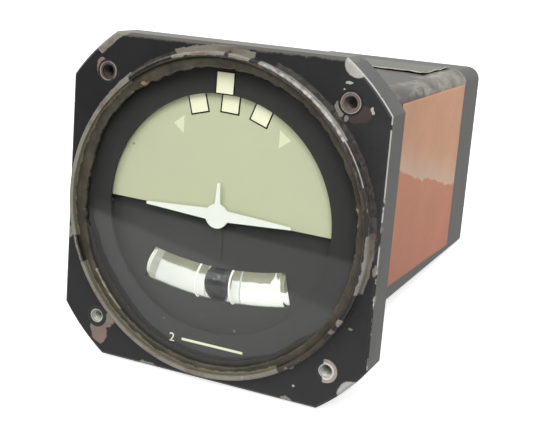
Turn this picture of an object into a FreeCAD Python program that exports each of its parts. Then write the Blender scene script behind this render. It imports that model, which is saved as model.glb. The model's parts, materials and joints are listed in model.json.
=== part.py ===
import FreeCAD, Part
import math
import os

import Sketcher

# Aircraft turn coordinator. X points right, Y into the case, Z up, in millimetres.
# The origin is the centre of the flange's front face, the face that meets the panel.

os.makedirs("parts", exist_ok=True)
doc = FreeCAD.newDocument("turn_coordinator")
sheet = doc.addObject("Spreadsheet::Sheet", "Sizes")

X_AXIS = FreeCAD.Vector(1, 0, 0)
Z_AXIS = FreeCAD.Vector(0, 0, 1)
RIGHT_ANGLE = 90
MIRRORS = ((1, 1), (-1, 1), (-1, -1), (1, -1))
SIDES = (-1, 1)
THIRD_ANGLES = (30, 150, 270)

NEGLIGIBLE = 1e-6

subparts = []

# Driving dimensions: lengths in millimetres, angles in degrees.

housing_sizes = {
    "flange_margin": 1.775,
    "flange_thickness": 9.525,
    "corner_cut": 7.571,
    "flange_chamfer": 0.6,
    "hole_margin": 9.8425,
    "insert_radius": 2.9,
    "insert_bore": 1.6,
    "rim_bore": 38.3,
    "rim_wall": 1.2,
    "rim_height": 2.8,
    "rim_chamfer": 0.35,
    "shoulder_depth": 2.4,
    "shoulder_width": 1.8,
    "web_thickness": 2.0,
    "spigot_length": 5.5,
    "spigot_wall": 2.3,
    "corner_boss_radius": 3.2,
}

glass_sizes = {
    "mask_thickness": 0.8,
    "mask_lap": 3.0,
    "gasket_thickness": 0.5,
    "gasket_width": 1.6,
    "glass_thickness": 2.0,
    "glass_chamfer": 0.2,
    "ring_thickness": 1.0,
    "ring_width": 2.3,
    "ring_gap_angle": 4,
    "ring_gap_place": 250,
    "groove_depth": 0.5,
}

dial_sizes = {
    "disc_gap": 0.6,
    "disc_thickness": 0.5,
    "disc_margin": 3.5,
    "disc_rest_angle": 1.0,
    "disc_eye_radius": 2.5,
    "dial_gap": 0.8,
    "dial_thickness": 0.8,
    "dial_margin": 0.5,
    "dial_screw_margin": 1.7,
    "dial_screw_radius": 0.8,
    "dial_screw_head": 1.5,
    "symbol_gap": 0.6,
    "symbol_thickness": 0.5,
    "wing_span": 38.6,
    "wing_height": 0.25,
    "wing_root": 3.0,
    "wing_tip": 0.6,
    "body_radius": 3.0,
    "fin_height": 8.0,
    "fin_base": 1.7,
    "fin_top": 0.7,
    "bracket_width": 2.0,
    "bracket_thickness": 0.3,
    "bracket_tab": 1.9,
    "bracket_foot": 7.5,
    "symbol_fillet": 0.4,
}

ball_sizes = {
    "tube_curve": 80.0,
    "tube_margin": 9.02,
    "tube_radius": 4.65,
    "tube_bore": 3.95,
    "cap_length": 1.1,
    "ball_radius": 3.6,
    "window_half_height": 4.3,
    "window_lap": 3.25,
    "card_thickness": 0.4,
    "card_half_height": 5.0,
    "channel_thickness": 0.8,
    "channel_half_height": 5.6,
    "channel_gap": 0.6,
}

case_sizes = {
    "can_width": 57.15,
    "can_height": 60.3,
    "can_radius": 4.2,
    "can_lower_radius": 1.8,
    "can_wall": 1.2,
    "can_overhang": 14.0,
    "cover_length": 14.5,
    "cover_wall": 1.6,
    "cover_floor": 2.0,
    "cover_lip": 4.0,
    "case_screw_radius": 1.2,
    "case_screw_head": 2.1,
    "case_screw_height": 15.0,
    "cover_screw_head": 2.5,
    "cover_screw_height": 1.5,
    "cover_screw_length": 9.0,
}

frame_sizes = {
    "plate_thickness": 2.5,
    "pillar_margin": 5.03,
    "pillar_radius": 2.5,
    "stud_radius": 1.25,
    "stud_length": 4.5,
    "rear_plate_gap": 13.08,
    "shaft_boss_radius": 4.5,
    "shaft_boss_length": 16.475,
    "bush_radius": 2.8,
    "bush_length": 3.0,
    "pivot_block_radius": 6.0,
    "pivot_block_length": 5.5,
    "pivot_bush_radius": 3.0,
    "arm_width": 10.0,
    "arm_height": 9.6,
    "front_pivot_gap": 4.5,
    "rear_pivot_gap": 8.0,
}

shaft_sizes = {
    "shaft_radius": 1.2,
    "hub_radius": 2.1,
    "hub_gap": 0.5,
    "weight_gap": 2.525,
    "weight_thickness": 3.0,
    "weight_radius": 10.5,
    "weight_angle": 140,
    "fork_gap": 5.5,
    "fork_thickness": 0.8,
    "fork_radius": 8.0,
    "fork_arm": 4.8,
    "fork_slot": 2.0,
    "fork_reach": 11.0,
    "fork_hub": 3.2,
    "stop_circle": 9.5,
    "stop_radius": 0.8,
    "disc_travel": 25,
}

gimbal_sizes = {
    "gimbal_front_gap": 15.58,
    "cant_angle": 30,
    "gimbal_side_gap": 9.5,
    "gimbal_end_gap": 2.5,
    "gimbal_bar": 3.5,
    "gimbal_thickness": 6.0,
    "gimbal_corner": 3.0,
    "bearing_boss": 5.5,
    "bearing_radius": 4.0,
    "pivot_radius": 1.5,
    "pivot_margin": 1.0,
    "drive_arm_width": 4.0,
    "drive_arm_thickness": 2.4,
    "drive_pin_radius": 0.75,
    "drive_pin_overhang": 1.5,
    "spring_gap": 2.6,
    "spring_strip": 0.15,
    "spring_height": 1.0,
    "spring_inner": 2.7,
    "spring_pitch": 0.6,
    "spring_turns": 4,
    "spring_post_radius": 0.35,
    "collet_radius": 2.3,
    "collet_length": 1.6,
    "drum_gap": 1.2,
    "drum_length": 5.2,
    "drum_radius": 7.0,
    "cup_wall": 1.0,
    "cup_gap": 0.4,
    "cup_length": 6.0,
}

rotor_sizes = {
    "rotor_radius": 17.0,
    "rotor_width": 18.0,
    "rotor_rim": 3.5,
    "rotor_web": 2.5,
    "rotor_hub": 4.0,
    "rotor_hub_length": 4.0,
    "rotor_shaft_radius": 1.5,
    "rotor_shaft_recess": 1.0,
    "winding_thickness": 0.8,
    "magnet_gap": 0.47,
    "magnet_length": 12.0,
    "magnet_margin": 1.0,
    "carrier_radius": 4.5,
    "carrier_bore": 2.4,
    "carrier_flange": 5.4,
    "carrier_flange_thickness": 1.5,
    "commutator_radius": 4.0,
    "commutator_gap": 3.5,
    "commutator_length": 4.0,
    "holder_outer": 10.5,
    "holder_inner": 8.2,
    "holder_thickness": 2.0,
    "holder_guide_start": 6.6,
    "brush_width": 2.4,
    "brush_length": 3.0,
}

wiring_sizes = {
    "connector_flange": 24.0,
    "connector_plate": 1.6,
    "connector_radius": 7.94,
    "connector_length": 12.5,
    "connector_wall": 1.05,
    "connector_step": 0.24,
    "connector_barrel_length": 4.0,
    "insert_recess": 1.5,
    "contact_circle": 3.6,
    "contact_radius": 1.2,
    "contact_bore": 0.8,
    "contact_bore_depth": 8.0,
    "contact_tail": 3.0,
    "connector_screw_spacing": 18.2,
    "connector_screw_radius": 0.9,
    "connector_screw_head": 1.7,
    "connector_screw_height": 1.1,
    "board_width": 20.0,
    "board_height": 16.0,
    "board_thickness": 1.6,
    "lead_radius": 0.6,
}

fit_sizes = {
    "fit_gap": 0.03,
    "shaft_gap": 0.05,
    "running_gap": 0.3,
    "overrun": 2.0,
}


class Size:
    """A number that keeps the sheet formula it comes from."""

    def __init__(self, value, formula):
        self.value = float(value)
        self.formula = formula

    def __add__(self, other):
        other = as_size(other)
        return Size(self.value + other.value, f"({self.formula} + {other.formula})")

    def __sub__(self, other):
        other = as_size(other)
        return Size(self.value - other.value, f"({self.formula} - {other.formula})")

    def __mul__(self, other):
        other = as_size(other)
        return Size(self.value * other.value, f"({self.formula} * {other.formula})")

    def __truediv__(self, other):
        other = as_size(other)
        return Size(self.value / other.value, f"({self.formula} / {other.formula})")

    def __neg__(self):
        return Size(-self.value, f"(0 - {self.formula})")

    def __radd__(self, other):
        return as_size(other) + self

    def __rsub__(self, other):
        return as_size(other) - self

    def __rmul__(self, other):
        return as_size(other) * self


def as_size(number):
    return number if isinstance(number, Size) else Size(number, str(number))


def sine(angle):
    return Size(math.sin(math.radians(angle.value)), f"sin({angle.formula})")


def cosine(angle):
    return Size(math.cos(math.radians(angle.value)), f"cos({angle.formula})")


def tangent(angle):
    return sine(angle) / cosine(angle)


def arc_sine(ratio):
    degrees = math.degrees(math.asin(ratio.value))
    return Size(degrees, f"(asin({ratio.formula}) / (1 deg))")


def arc_angle(ratio):
    """Degrees of an arc whose length is this many times its radius."""
    return Size(math.degrees(ratio.value), f"({ratio.formula} * 180 / pi)")


def square_root(size):
    return Size(math.sqrt(size.value), f"sqrt({size.formula})")


class Dimensions:
    """Every driving dimension by name, each one a cell of the sheet."""


dims = Dimensions()
row = 0
for group in (housing_sizes, glass_sizes, dial_sizes, ball_sizes, case_sizes, frame_sizes,
              shaft_sizes, gimbal_sizes, rotor_sizes, wiring_sizes, fit_sizes):
    for name, number in group.items():
        row += 1
        sheet.set(f"A{row}", name)
        sheet.set(f"B{row}", str(number))
        sheet.setAlias(f"B{row}", name)
        setattr(dims, name, Size(number, f"Sizes.{name}"))
doc.recompute()


def bind(feature, sizes):
    for path, size in sizes.items():
        feature.setExpression(path, as_size(size).formula)


def turn_formula(axis, angle):
    """The sheet formula of a turn by an angle about an axis."""
    x, y, z = (int(part) for part in axis)
    return f"create(<<rotation>>; vector({x}; {y}; {z}); {as_size(angle).formula})"


def lay_along_y(first):
    """Turns a shape about its own axis by an angle, then lays that axis along -Y."""
    return turn_formula(X_AXIS, 90) + " * " + turn_formula(Z_AXIS, first)


def place(feature, x=0, y=0, z=0, axis=Z_AXIS, angle=0):
    """Puts a feature at a point, turned by an angle about an axis."""
    bind(feature, {"Placement.Base.x": x, "Placement.Base.y": y, "Placement.Base.z": z})
    if as_size(angle).value != 0:
        feature.setExpression("Placement.Rotation", turn_formula(axis, angle))
    return feature


def keep(feature, label):
    """Marks a feature as a finished sub-part under its own label."""
    feature.Label = label
    subparts.append(feature)
    return feature


def new_body(name):
    return doc.addObject("PartDesign::Body", name)


def new_sketch(body, role, offset=None):
    sketch = body.newObject("Sketcher::SketchObject", body.Name + "_sketch")
    planes = [feature for feature in body.Origin.OriginFeatures if feature.Role == role]
    sketch.AttachmentSupport = (planes[0], [""])
    sketch.MapMode = "FlatFace"
    if offset is not None:
        bind(sketch, {"AttachmentOffset.Base.z": offset})
    return sketch


def hold_point(sketch, element, end, x, y):
    """Pins one point of a sketch element to its place."""
    for kind, size, own_axis in (("DistanceX", x, -2), ("DistanceY", y, -1)):
        size = as_size(size)
        if abs(size.value) < NEGLIGIBLE:
            sketch.addConstraint(Sketcher.Constraint("PointOnObject", element, end, own_axis))
        else:
            index = sketch.addConstraint(
                Sketcher.Constraint(kind, -1, 1, element, end, size.value))
            bind(sketch, {f"Constraints[{index}]": size})


def draw_polygon(sketch, points):
    corners = [FreeCAD.Vector(as_size(x).value, as_size(y).value, 0) for x, y in points]
    first = sketch.GeometryCount
    count = len(corners)
    for index in range(count):
        sketch.addGeometry(Part.LineSegment(corners[index], corners[(index + 1) % count]))
    for index in range(count):
        following = first + (index + 1) % count
        sketch.addConstraint(Sketcher.Constraint("Coincident", first + index, 2, following, 1))
    for index, (x, y) in enumerate(points):
        hold_point(sketch, first + index, 1, x, y)


def draw_circle(sketch, radius, x=0, y=0):
    centre = FreeCAD.Vector(as_size(x).value, as_size(y).value, 0)
    circle = sketch.addGeometry(Part.Circle(centre, Z_AXIS, radius.value))
    hold_point(sketch, circle, 3, x, y)
    index = sketch.addConstraint(Sketcher.Constraint("Radius", circle, radius.value))
    bind(sketch, {f"Constraints[{index}]": radius})


def draw_rounded_rectangle(sketch, half_width, half_height, radius, lower_radius=None):
    """Four lines and four corner arcs, whose lower pair may have its own radius."""
    turns = ((1, 1, 0), (-1, 1, 90), (-1, -1, 180), (1, -1, 270))
    radii = {1: radius, -1: radius if lower_radius is None else lower_radius}
    arcs = []
    for side, up, start in turns:
        bend = radii[up]
        centre = FreeCAD.Vector(side * (half_width.value - bend.value),
                                up * (half_height.value - bend.value), 0)
        circle = Part.Circle(centre, Z_AXIS, bend.value)
        begin = math.radians(start)
        arcs.append(sketch.addGeometry(Part.ArcOfCircle(circle, begin, begin + math.pi / 2)))
    lines = []
    for index, arc in enumerate(arcs):
        following = arcs[(index + 1) % 4]
        start = sketch.getPoint(arc, 2)
        finish = sketch.getPoint(following, 1)
        lines.append(sketch.addGeometry(Part.LineSegment(start, finish)))
    for index, arc in enumerate(arcs):
        following = arcs[(index + 1) % 4]
        sketch.addConstraint(Sketcher.Constraint("Tangent", arc, 2, lines[index], 1))
        sketch.addConstraint(Sketcher.Constraint("Tangent", lines[index], 2, following, 1))
    for arc, (side, up, start) in zip(arcs, turns):
        bend = radii[up]
        hold_point(sketch, arc, 3, side * (half_width - bend), up * (half_height - bend))
        index = sketch.addConstraint(Sketcher.Constraint("Radius", arc, bend.value))
        bind(sketch, {f"Constraints[{index}]": bend})


def add_pad(body, sketch, length, backwards=False):
    pad = body.newObject("PartDesign::Pad", body.Name + "_pad")
    pad.Profile = sketch
    pad.Reversed = backwards
    bind(pad, {"Length": length})
    sketch.Visibility = False
    return pad


def add_pocket(body, sketch, length, backwards=False, midplane=False):
    """Cuts a sketch through the body, and stops if it took nothing away."""
    doc.recompute()
    before = body.Shape.Volume
    pocket = body.newObject("PartDesign::Pocket", body.Name + "_pocket")
    pocket.Profile = sketch
    pocket.Reversed = backwards
    pocket.Midplane = midplane
    bind(pocket, {"Length": length})
    doc.recompute()
    if body.Shape.Volume >= before:
        raise RuntimeError(pocket.Name + " cuts nothing")
    return pocket


def add_groove(body, profile):
    """Turns a profile of radius and depth about the Y axis, and cuts it away."""
    sketch = new_sketch(body, "XY_Plane")
    draw_polygon(sketch, profile)
    doc.recompute()
    before = body.Shape.Volume
    groove = body.newObject("PartDesign::Groove", body.Name + "_groove")
    groove.Profile = sketch
    groove.ReferenceAxis = (sketch, ["V_Axis"])
    groove.Angle = 360
    doc.recompute()
    if body.Shape.Volume >= before:
        raise RuntimeError(groove.Name + " cuts nothing")
    return groove


def turned(name, profile):
    """A body turned about its own Y axis from points of radius and place."""
    body = new_body(name)
    sketch = new_sketch(body, "XY_Plane")
    draw_polygon(sketch, profile)
    revolution = body.newObject("PartDesign::Revolution", name + "_turn")
    revolution.Profile = sketch
    revolution.ReferenceAxis = (sketch, ["V_Axis"])
    revolution.Angle = 360
    return body


def box(name, low, high):
    """A box between two corners of named sizes."""
    feature = doc.addObject("Part::Box", name)
    lengths = [as_size(b) - as_size(a) for a, b in zip(low, high)]
    bind(feature, dict(zip(("Length", "Width", "Height"), lengths)))
    return place(feature, *low)


def rod(name, radius, start, end, x=0, z=0, sweep=360, first=0):
    """A cylinder along Y. A sweep under 360 makes a sector that starts at an angle."""
    feature = doc.addObject("Part::Cylinder", name)
    bind(feature, {"Radius": radius, "Height": as_size(end) - as_size(start), "Angle": sweep})
    place(feature, x, end, z)
    feature.setExpression("Placement.Rotation", lay_along_y(first))
    return feature


def combine(kind, name, features):
    result = doc.addObject("Part::" + kind, name)
    if kind == "Cut":
        result.Base, result.Tool = features
    elif kind == "Compound":
        result.Links = features
    else:
        result.Shapes = features
    return result


def cut(name, base, tools):
    tool = tools[0] if len(tools) == 1 else combine("MultiFuse", name + "_tools", tools)
    return combine("Cut", name, (base, tool))


# Places that several pieces share: the case from the glass outwards.

tilt_sine = sine(dims.cant_angle)
tilt_cosine = cosine(dims.cant_angle)

rim_radius = dims.rim_bore + dims.rim_wall
flange_half = rim_radius + dims.flange_margin
corner_radius = flange_half * square_root(as_size(2)) - dims.corner_cut
hole_offset = flange_half - dims.hole_margin
cavity_radius = dims.rim_bore - dims.shoulder_width
groove_radius = dims.rim_bore + dims.groove_depth
seat_radius = dims.rim_bore - dims.fit_gap
dial_radius = cavity_radius - dims.dial_margin
disc_radius = dial_radius - dims.disc_margin

can_half_width = dims.can_width / 2
can_half_height = dims.can_height / 2
inner_half_width = can_half_width - dims.can_wall
inner_half_height = can_half_height - dims.can_wall
inner_radius = dims.can_radius - dims.can_wall
spigot_half_width = inner_half_width - dims.fit_gap
spigot_half_height = inner_half_height - dims.fit_gap
spigot_radius = inner_radius - dims.fit_gap

# The gimbal and its pivots, measured from its centre.
rotor_half_width = dims.rotor_width / 2
gimbal_inside = rotor_half_width + dims.gimbal_side_gap
gimbal_half_width = gimbal_inside + dims.gimbal_bar
gimbal_half_length = dims.rotor_radius + dims.gimbal_end_gap + dims.gimbal_bar
front_pivot = gimbal_half_length + dims.front_pivot_gap
rear_pivot = gimbal_half_length + dims.rear_pivot_gap
gimbal_half_depth = gimbal_half_length * tilt_cosine

# Depths from the front to the back.
web_front = dims.flange_thickness - dims.web_thickness
mask_front = dims.shoulder_depth - dims.mask_thickness
gasket_front = mask_front - dims.gasket_thickness
glass_front = gasket_front - dims.glass_thickness
ring_front = glass_front - dims.ring_thickness
disc_front = dims.shoulder_depth + dims.disc_gap
disc_back = disc_front + dims.disc_thickness
symbol_back = disc_front - dims.symbol_gap
symbol_front = symbol_back - dims.symbol_thickness
dial_front = disc_back + dims.dial_gap
dial_back = dial_front + dims.dial_thickness
spigot_end = dims.flange_thickness + dims.spigot_length
plate_back = spigot_end + dims.plate_thickness
weight_back = spigot_end - dims.weight_gap
weight_front = weight_back - dims.weight_thickness
hub_end = weight_front - dims.hub_gap
shaft_boss_end = plate_back + dims.shaft_boss_length
fork_middle = shaft_boss_end + dims.fork_gap
fork_front = fork_middle - dims.fork_thickness / 2
fork_back = fork_middle + dims.fork_thickness / 2
gimbal_depth = fork_middle + gimbal_half_depth + dims.gimbal_front_gap
rear_plate_front = gimbal_depth + gimbal_half_depth + dims.rear_plate_gap
rear_plate_back = rear_plate_front + dims.plate_thickness
can_end = rear_plate_front + dims.can_overhang
cover_end = can_end + dims.cover_length
cover_inside = cover_end - dims.cover_floor

# The inclinometer's tube lies on a circle, as wide as the spigot allows.
tube_height = dims.spigot_wall + dims.tube_margin - spigot_half_height
curve_centre = tube_height + dims.tube_curve
window_reach = square_root(dims.tube_radius * dims.tube_radius
                           - dims.window_half_height * dims.window_half_height)
tube_depth = dial_back + window_reach + 2 * dims.shaft_gap
card_front = tube_depth + dims.tube_radius + dims.shaft_gap
card_back = card_front + dims.card_thickness


def tube_arc(length):
    """The angle of a length along the tube's circle."""
    return arc_angle(length / dims.tube_curve)


channel_angle = arc_sine((spigot_half_width - dims.spigot_wall - dims.channel_gap)
                         / (dims.tube_curve + dims.channel_half_height))
channel_inner_angle = channel_angle - tube_arc(dims.channel_thickness)
card_angle = channel_inner_angle - tube_arc(dims.running_gap)
window_angle = channel_inner_angle - tube_arc(dims.window_lap)
tube_angle = window_angle - tube_arc(dims.running_gap)
cap_angle = tube_arc(dims.cap_length)

pillar_x = spigot_half_width - dims.pillar_margin
pillar_z = spigot_half_height - dims.pillar_margin
corner_places = [(side * pillar_x, up * pillar_z) for side, up in MIRRORS]
hole_places = [(side * hole_offset, up * hole_offset) for side, up in MIRRORS]


def canted(feature):
    """Lays a piece built about the gimbal's own axes into the case."""
    return place(feature, 0, gimbal_depth, 0, X_AXIS, -dims.cant_angle)


def rotor_place(feature):
    """Lays a piece turned about Y along the rotor's axis, which is X."""
    return place(feature, 0, gimbal_depth, 0, Z_AXIS, -RIGHT_ANGLE)


def on_circle(radius, angle):
    """The point of a circle about Y at an angle up from X."""
    return radius * cosine(as_size(angle)), radius * sine(as_size(angle))


def rounded_block(body, half_width, half_height, radius, start, end, lower_radius=None):
    """A pad of a rounded rectangle between two depths."""
    sketch = new_sketch(body, "XZ_Plane", -as_size(start))
    draw_rounded_rectangle(sketch, half_width, half_height, radius, lower_radius)
    return add_pad(body, sketch, as_size(end) - as_size(start), backwards=True)


def round_block(body, radius, start, end, places=((0, 0),)):
    """Pads of equal circles between two depths."""
    sketch = new_sketch(body, "XZ_Plane", -as_size(start))
    for x, z in places:
        draw_circle(sketch, radius, x, z)
    return add_pad(body, sketch, as_size(end) - as_size(start), backwards=True)


def round_holes(body, radius, start, end, places=((0, 0),)):
    """Holes of equal circles between two depths."""
    sketch = new_sketch(body, "XZ_Plane", -as_size(start))
    for x, z in places:
        draw_circle(sketch, radius, x, z)
    return add_pocket(body, sketch, as_size(end) - as_size(start))


def rounded_hole(body, half_width, half_height, radius, start, end):
    sketch = new_sketch(body, "XZ_Plane", -as_size(start))
    draw_rounded_rectangle(sketch, half_width, half_height, radius)
    return add_pocket(body, sketch, as_size(end) - as_size(start))


def add_dressing(body, kind, property_name, size, chosen):
    """A chamfer or fillet on the edges of the body that a test picks."""
    doc.recompute()
    base = body.Tip
    names = [f"Edge{number}" for number, edge in enumerate(base.Shape.Edges, start=1)
             if chosen(edge)]
    dressing = body.newObject("PartDesign::" + kind, f"{body.Name}_{kind.lower()}")
    dressing.Base = (base, names)
    bind(dressing, {property_name: size})


def ring_profile(inner, outer, start, end):
    return [(inner, start), (outer, start), (outer, end), (inner, end)]


def countersunk_profile(head, shank, length, gap):
    """A countersunk screw with its head face at 0, pointing along +Y."""
    head_height = head - shank
    return [(0, 0), (head + gap, 0), (shank + gap, head_height),
            (shank + gap, length), (0, length)]


def pan_profile(head, head_height, shank, length):
    """A pan head screw that bears at 0, pointing along +Y."""
    return [(0, -head_height), (head, -head_height), (head, 0), (shank, 0),
            (shank, length), (0, length)]


def curved_slab(name, half_height, half_angle, start, end):
    """A slab that follows the curve of the tube, between two depths."""
    sweep = 2 * half_angle
    first = 3 * RIGHT_ANGLE - half_angle
    outer = rod(name + "_outer", dims.tube_curve + half_height, start, end, z=curve_centre,
                sweep=sweep, first=first)
    inner = rod(name + "_inner", dims.tube_curve - half_height, start - dims.overrun,
                end + dims.overrun, z=curve_centre, sweep=360)
    return cut(name, outer, [inner])


def curved_bar(name, radius, half_angle, first):
    """A round bar along the curve of the tube, from an angle on."""
    torus = doc.addObject("Part::Torus", name)
    bind(torus, {"Radius1": dims.tube_curve, "Radius2": radius, "Angle3": half_angle})
    place(torus, 0, tube_depth, curve_centre)
    torus.setExpression("Placement.Rotation", lay_along_y(first))
    return torus


def canted_rod(name, radius, start, end):
    """A cylinder along the gimbal's axis, in the frame of the case."""
    feature = doc.addObject("Part::Cylinder", name)
    bind(feature, {"Radius": radius, "Height": end - start})
    return place(feature, 0, gimbal_depth + end * tilt_cosine, -end * tilt_sine,
                 X_AXIS, RIGHT_ANGLE - dims.cant_angle)


# Case screws go through the can into the spigot, two on each side.


def case_screws(name, gap):
    screws = []
    length = dims.can_wall + dims.spigot_wall
    for side in SIDES:
        for up in SIDES:
            screw = turned(f"{name}_{len(screws)}", countersunk_profile(
                dims.case_screw_head, dims.case_screw_radius, length, gap))
            place(screw, side * can_half_width, dims.flange_thickness + dims.spigot_length / 2,
                  up * dims.case_screw_height, Z_AXIS, side * RIGHT_ANGLE)
            screws.append(screw)
    return screws


# Dial screws go through the dial plate and its spacers into the housing's web.

dial_screw_places = [on_circle(dial_radius - dims.dial_screw_margin, angle) for angle in THIRD_ANGLES]
dial_screw_length = dims.flange_thickness - dial_front - dims.running_gap


def dial_screws(name, gap):
    screws = []
    for x, z in dial_screw_places:
        screw = turned(f"{name}_{len(screws)}", countersunk_profile(
            dims.dial_screw_head, dims.dial_screw_radius, dial_screw_length, gap))
        screws.append(place(screw, x, dial_front, z))
    return screws


case_screw_holes = combine("MultiFuse", "case_screw_holes",
                           case_screws("case_hole", dims.fit_gap))
dial_screw_holes = combine("MultiFuse", "dial_screw_holes",
                           dial_screws("dial_hole", dims.fit_gap))
keep(combine("Compound", "case_screw_set", case_screws("case_screw", as_size(0))), "case_screws")
keep(combine("Compound", "dial_screw_set", dial_screws("dial_screw", as_size(0))), "dial_screws")


# Flange housing: a square flange with cut corners, a round rim and a spigot for the can.

housing = new_body("housing")
flange_sketch = new_sketch(housing, "XZ_Plane")
draw_polygon(flange_sketch, [(side * flange_half, up * flange_half) for side, up in MIRRORS])
add_pad(housing, flange_sketch, dims.flange_thickness, backwards=True)

corner_sketch = new_sketch(housing, "XZ_Plane")
draw_circle(corner_sketch, corner_radius)
draw_circle(corner_sketch, 2 * flange_half)
add_pocket(housing, corner_sketch, dims.flange_thickness)

round_block(housing, rim_radius, -dims.rim_height, as_size(0))
add_dressing(housing, "Chamfer", "Size", dims.flange_chamfer, lambda edge: (
    abs(edge.BoundBox.YMin) < NEGLIGIBLE and abs(edge.BoundBox.YMax) < NEGLIGIBLE
    and math.hypot(edge.CenterOfMass.x, edge.CenterOfMass.z) > rim_radius.value / 2))
add_dressing(housing, "Chamfer", "Size", dims.rim_chamfer, lambda edge: (
    abs(edge.BoundBox.YMax + dims.rim_height.value) < NEGLIGIBLE))

rounded_block(housing, spigot_half_width, spigot_half_height, spigot_radius,
              dims.flange_thickness, spigot_end)
add_groove(housing, [
    (0, -dims.rim_height - dims.overrun),
    (dims.rim_bore, -dims.rim_height - dims.overrun),
    (dims.rim_bore, ring_front - dims.shaft_gap),
    (groove_radius, ring_front - dims.shaft_gap),
    (groove_radius, glass_front),
    (dims.rim_bore, glass_front),
    (dims.rim_bore, dims.shoulder_depth),
    (cavity_radius, dims.shoulder_depth),
    (cavity_radius, web_front),
    (0, web_front),
])
rounded_hole(housing, spigot_half_width - dims.spigot_wall, spigot_half_height - dims.spigot_wall,
             spigot_radius - dims.spigot_wall, web_front - dims.overrun,
             spigot_end + dims.overrun)
round_block(housing, dims.corner_boss_radius, web_front, spigot_end, corner_places)
round_holes(housing, dims.stud_radius + dims.fit_gap, spigot_end - dims.stud_length
            - dims.running_gap, spigot_end + dims.overrun, corner_places)
round_holes(housing, dims.insert_radius + dims.fit_gap, -dims.overrun,
            dims.flange_thickness + dims.overrun, hole_places)
keep(cut("housing_drilled", housing, [case_screw_holes, dial_screw_holes]), "flange_housing")

inserts = []
for x, z in hole_places:
    insert = turned(f"insert_{len(inserts)}", ring_profile(
        dims.insert_bore, dims.insert_radius, as_size(0), dims.flange_thickness))
    inserts.append(place(insert, x, 0, z))
keep(combine("Compound", "insert_set", inserts), "threaded_inserts")


# Glass, its retaining ring and gasket, and the dial mask against the shoulder.

keep(turned("glass", [
    (0, glass_front),
    (seat_radius - dims.glass_chamfer, glass_front),
    (seat_radius, glass_front + dims.glass_chamfer),
    (seat_radius, gasket_front - dims.glass_chamfer),
    (seat_radius - dims.glass_chamfer, gasket_front),
    (0, gasket_front),
]), "cover_glass")
keep(turned("gasket", ring_profile(dims.rim_bore - dims.gasket_width, seat_radius, gasket_front, mask_front)),
     "glass_gasket")
keep(turned("mask", ring_profile(disc_radius - dims.mask_lap, seat_radius, mask_front,
                                 dims.shoulder_depth)), "dial_mask")

ring_outer = rod("ring_outer", groove_radius - dims.shaft_gap, ring_front, glass_front,
                 sweep=360 - dims.ring_gap_angle,
                 first=dims.ring_gap_place + dims.ring_gap_angle / 2)
ring_hole = rod("ring_hole", dims.rim_bore - dims.ring_width, ring_front - dims.overrun,
                glass_front + dims.overrun)
keep(cut("ring", ring_outer, [ring_hole]), "snap_ring")


# Dial plate with its window, its spacers, and the inclinometer behind it.

dial = rod("dial_blank", dial_radius, dial_front, dial_back)
dial_hole = rod("dial_shaft_hole", dims.hub_radius + 2 * dims.running_gap,
                dial_front - dims.overrun, dial_back + dims.overrun)
window = curved_slab("window", dims.window_half_height, window_angle,
                     dial_front - dims.overrun, dial_back + dims.overrun)
keep(cut("dial", dial, [dial_hole, window, dial_screw_holes]), "dial_plate")

spacers = []
for x, z in dial_screw_places:
    spacer = turned(f"spacer_{len(spacers)}", ring_profile(
        dims.dial_screw_radius + dims.fit_gap, dims.dial_screw_head, dial_back, web_front))
    spacers.append(place(spacer, x, 0, z))
keep(combine("Compound", "spacer_set", spacers), "dial_spacers")

glass_bar = curved_bar("tube_bar", dims.tube_radius, 2 * tube_angle, 3 * RIGHT_ANGLE - tube_angle)
glass_bore = curved_bar("tube_hollow", dims.tube_bore, 2 * tube_angle,
                        3 * RIGHT_ANGLE - tube_angle)
keep(cut("tube", glass_bar, [glass_bore]), "inclinometer_tube")
plug_radius = dims.tube_bore - dims.fit_gap
caps = [curved_bar("cap_left", plug_radius, cap_angle, 3 * RIGHT_ANGLE - tube_angle),
        curved_bar("cap_right", plug_radius, cap_angle, 3 * RIGHT_ANGLE + tube_angle - cap_angle)]
keep(combine("Compound", "cap_set", caps), "inclinometer_caps")

ball = doc.addObject("Part::Sphere", "ball_sphere")
bind(ball, {"Radius": dims.ball_radius})
keep(place(ball, 0, tube_depth, tube_height), "ball")

keep(curved_slab("card", dims.card_half_height, card_angle, card_front, card_back),
     "inclinometer_card")
channel_outer = curved_slab("channel_outer", dims.channel_half_height, channel_angle,
                            dial_back, card_back + dims.channel_thickness)
channel_inner = curved_slab("channel_inner", dims.channel_half_height + dims.overrun,
                            channel_inner_angle, dial_back - dims.overrun, card_back)
keep(cut("channel", channel_outer, [channel_inner]), "inclinometer_bracket")


# Aeroplane symbol: wings, body and fin from one sheet, on a bent strip.

symbol = new_body("symbol")
wing_sketch = new_sketch(symbol, "XZ_Plane", -symbol_front)
half_span = dims.wing_span / 2
draw_polygon(wing_sketch, [
    (-half_span, dims.wing_height - dims.wing_tip / 2),
    (0, dims.wing_height - dims.wing_root / 2),
    (half_span, dims.wing_height - dims.wing_tip / 2),
    (half_span, dims.wing_height + dims.wing_tip / 2),
    (0, dims.wing_height + dims.wing_root / 2),
    (-half_span, dims.wing_height + dims.wing_tip / 2),
])
add_pad(symbol, wing_sketch, dims.symbol_thickness, backwards=True)
round_block(symbol, dims.body_radius, symbol_front, symbol_back)
fin_sketch = new_sketch(symbol, "XZ_Plane", -symbol_front)
draw_polygon(fin_sketch, [
    (-dims.fin_base / 2, 0),
    (dims.fin_base / 2, 0),
    (dims.fin_top / 2, dims.fin_height),
    (-dims.fin_top / 2, dims.fin_height),
])
add_pad(symbol, fin_sketch, dims.symbol_thickness, backwards=True)
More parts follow.
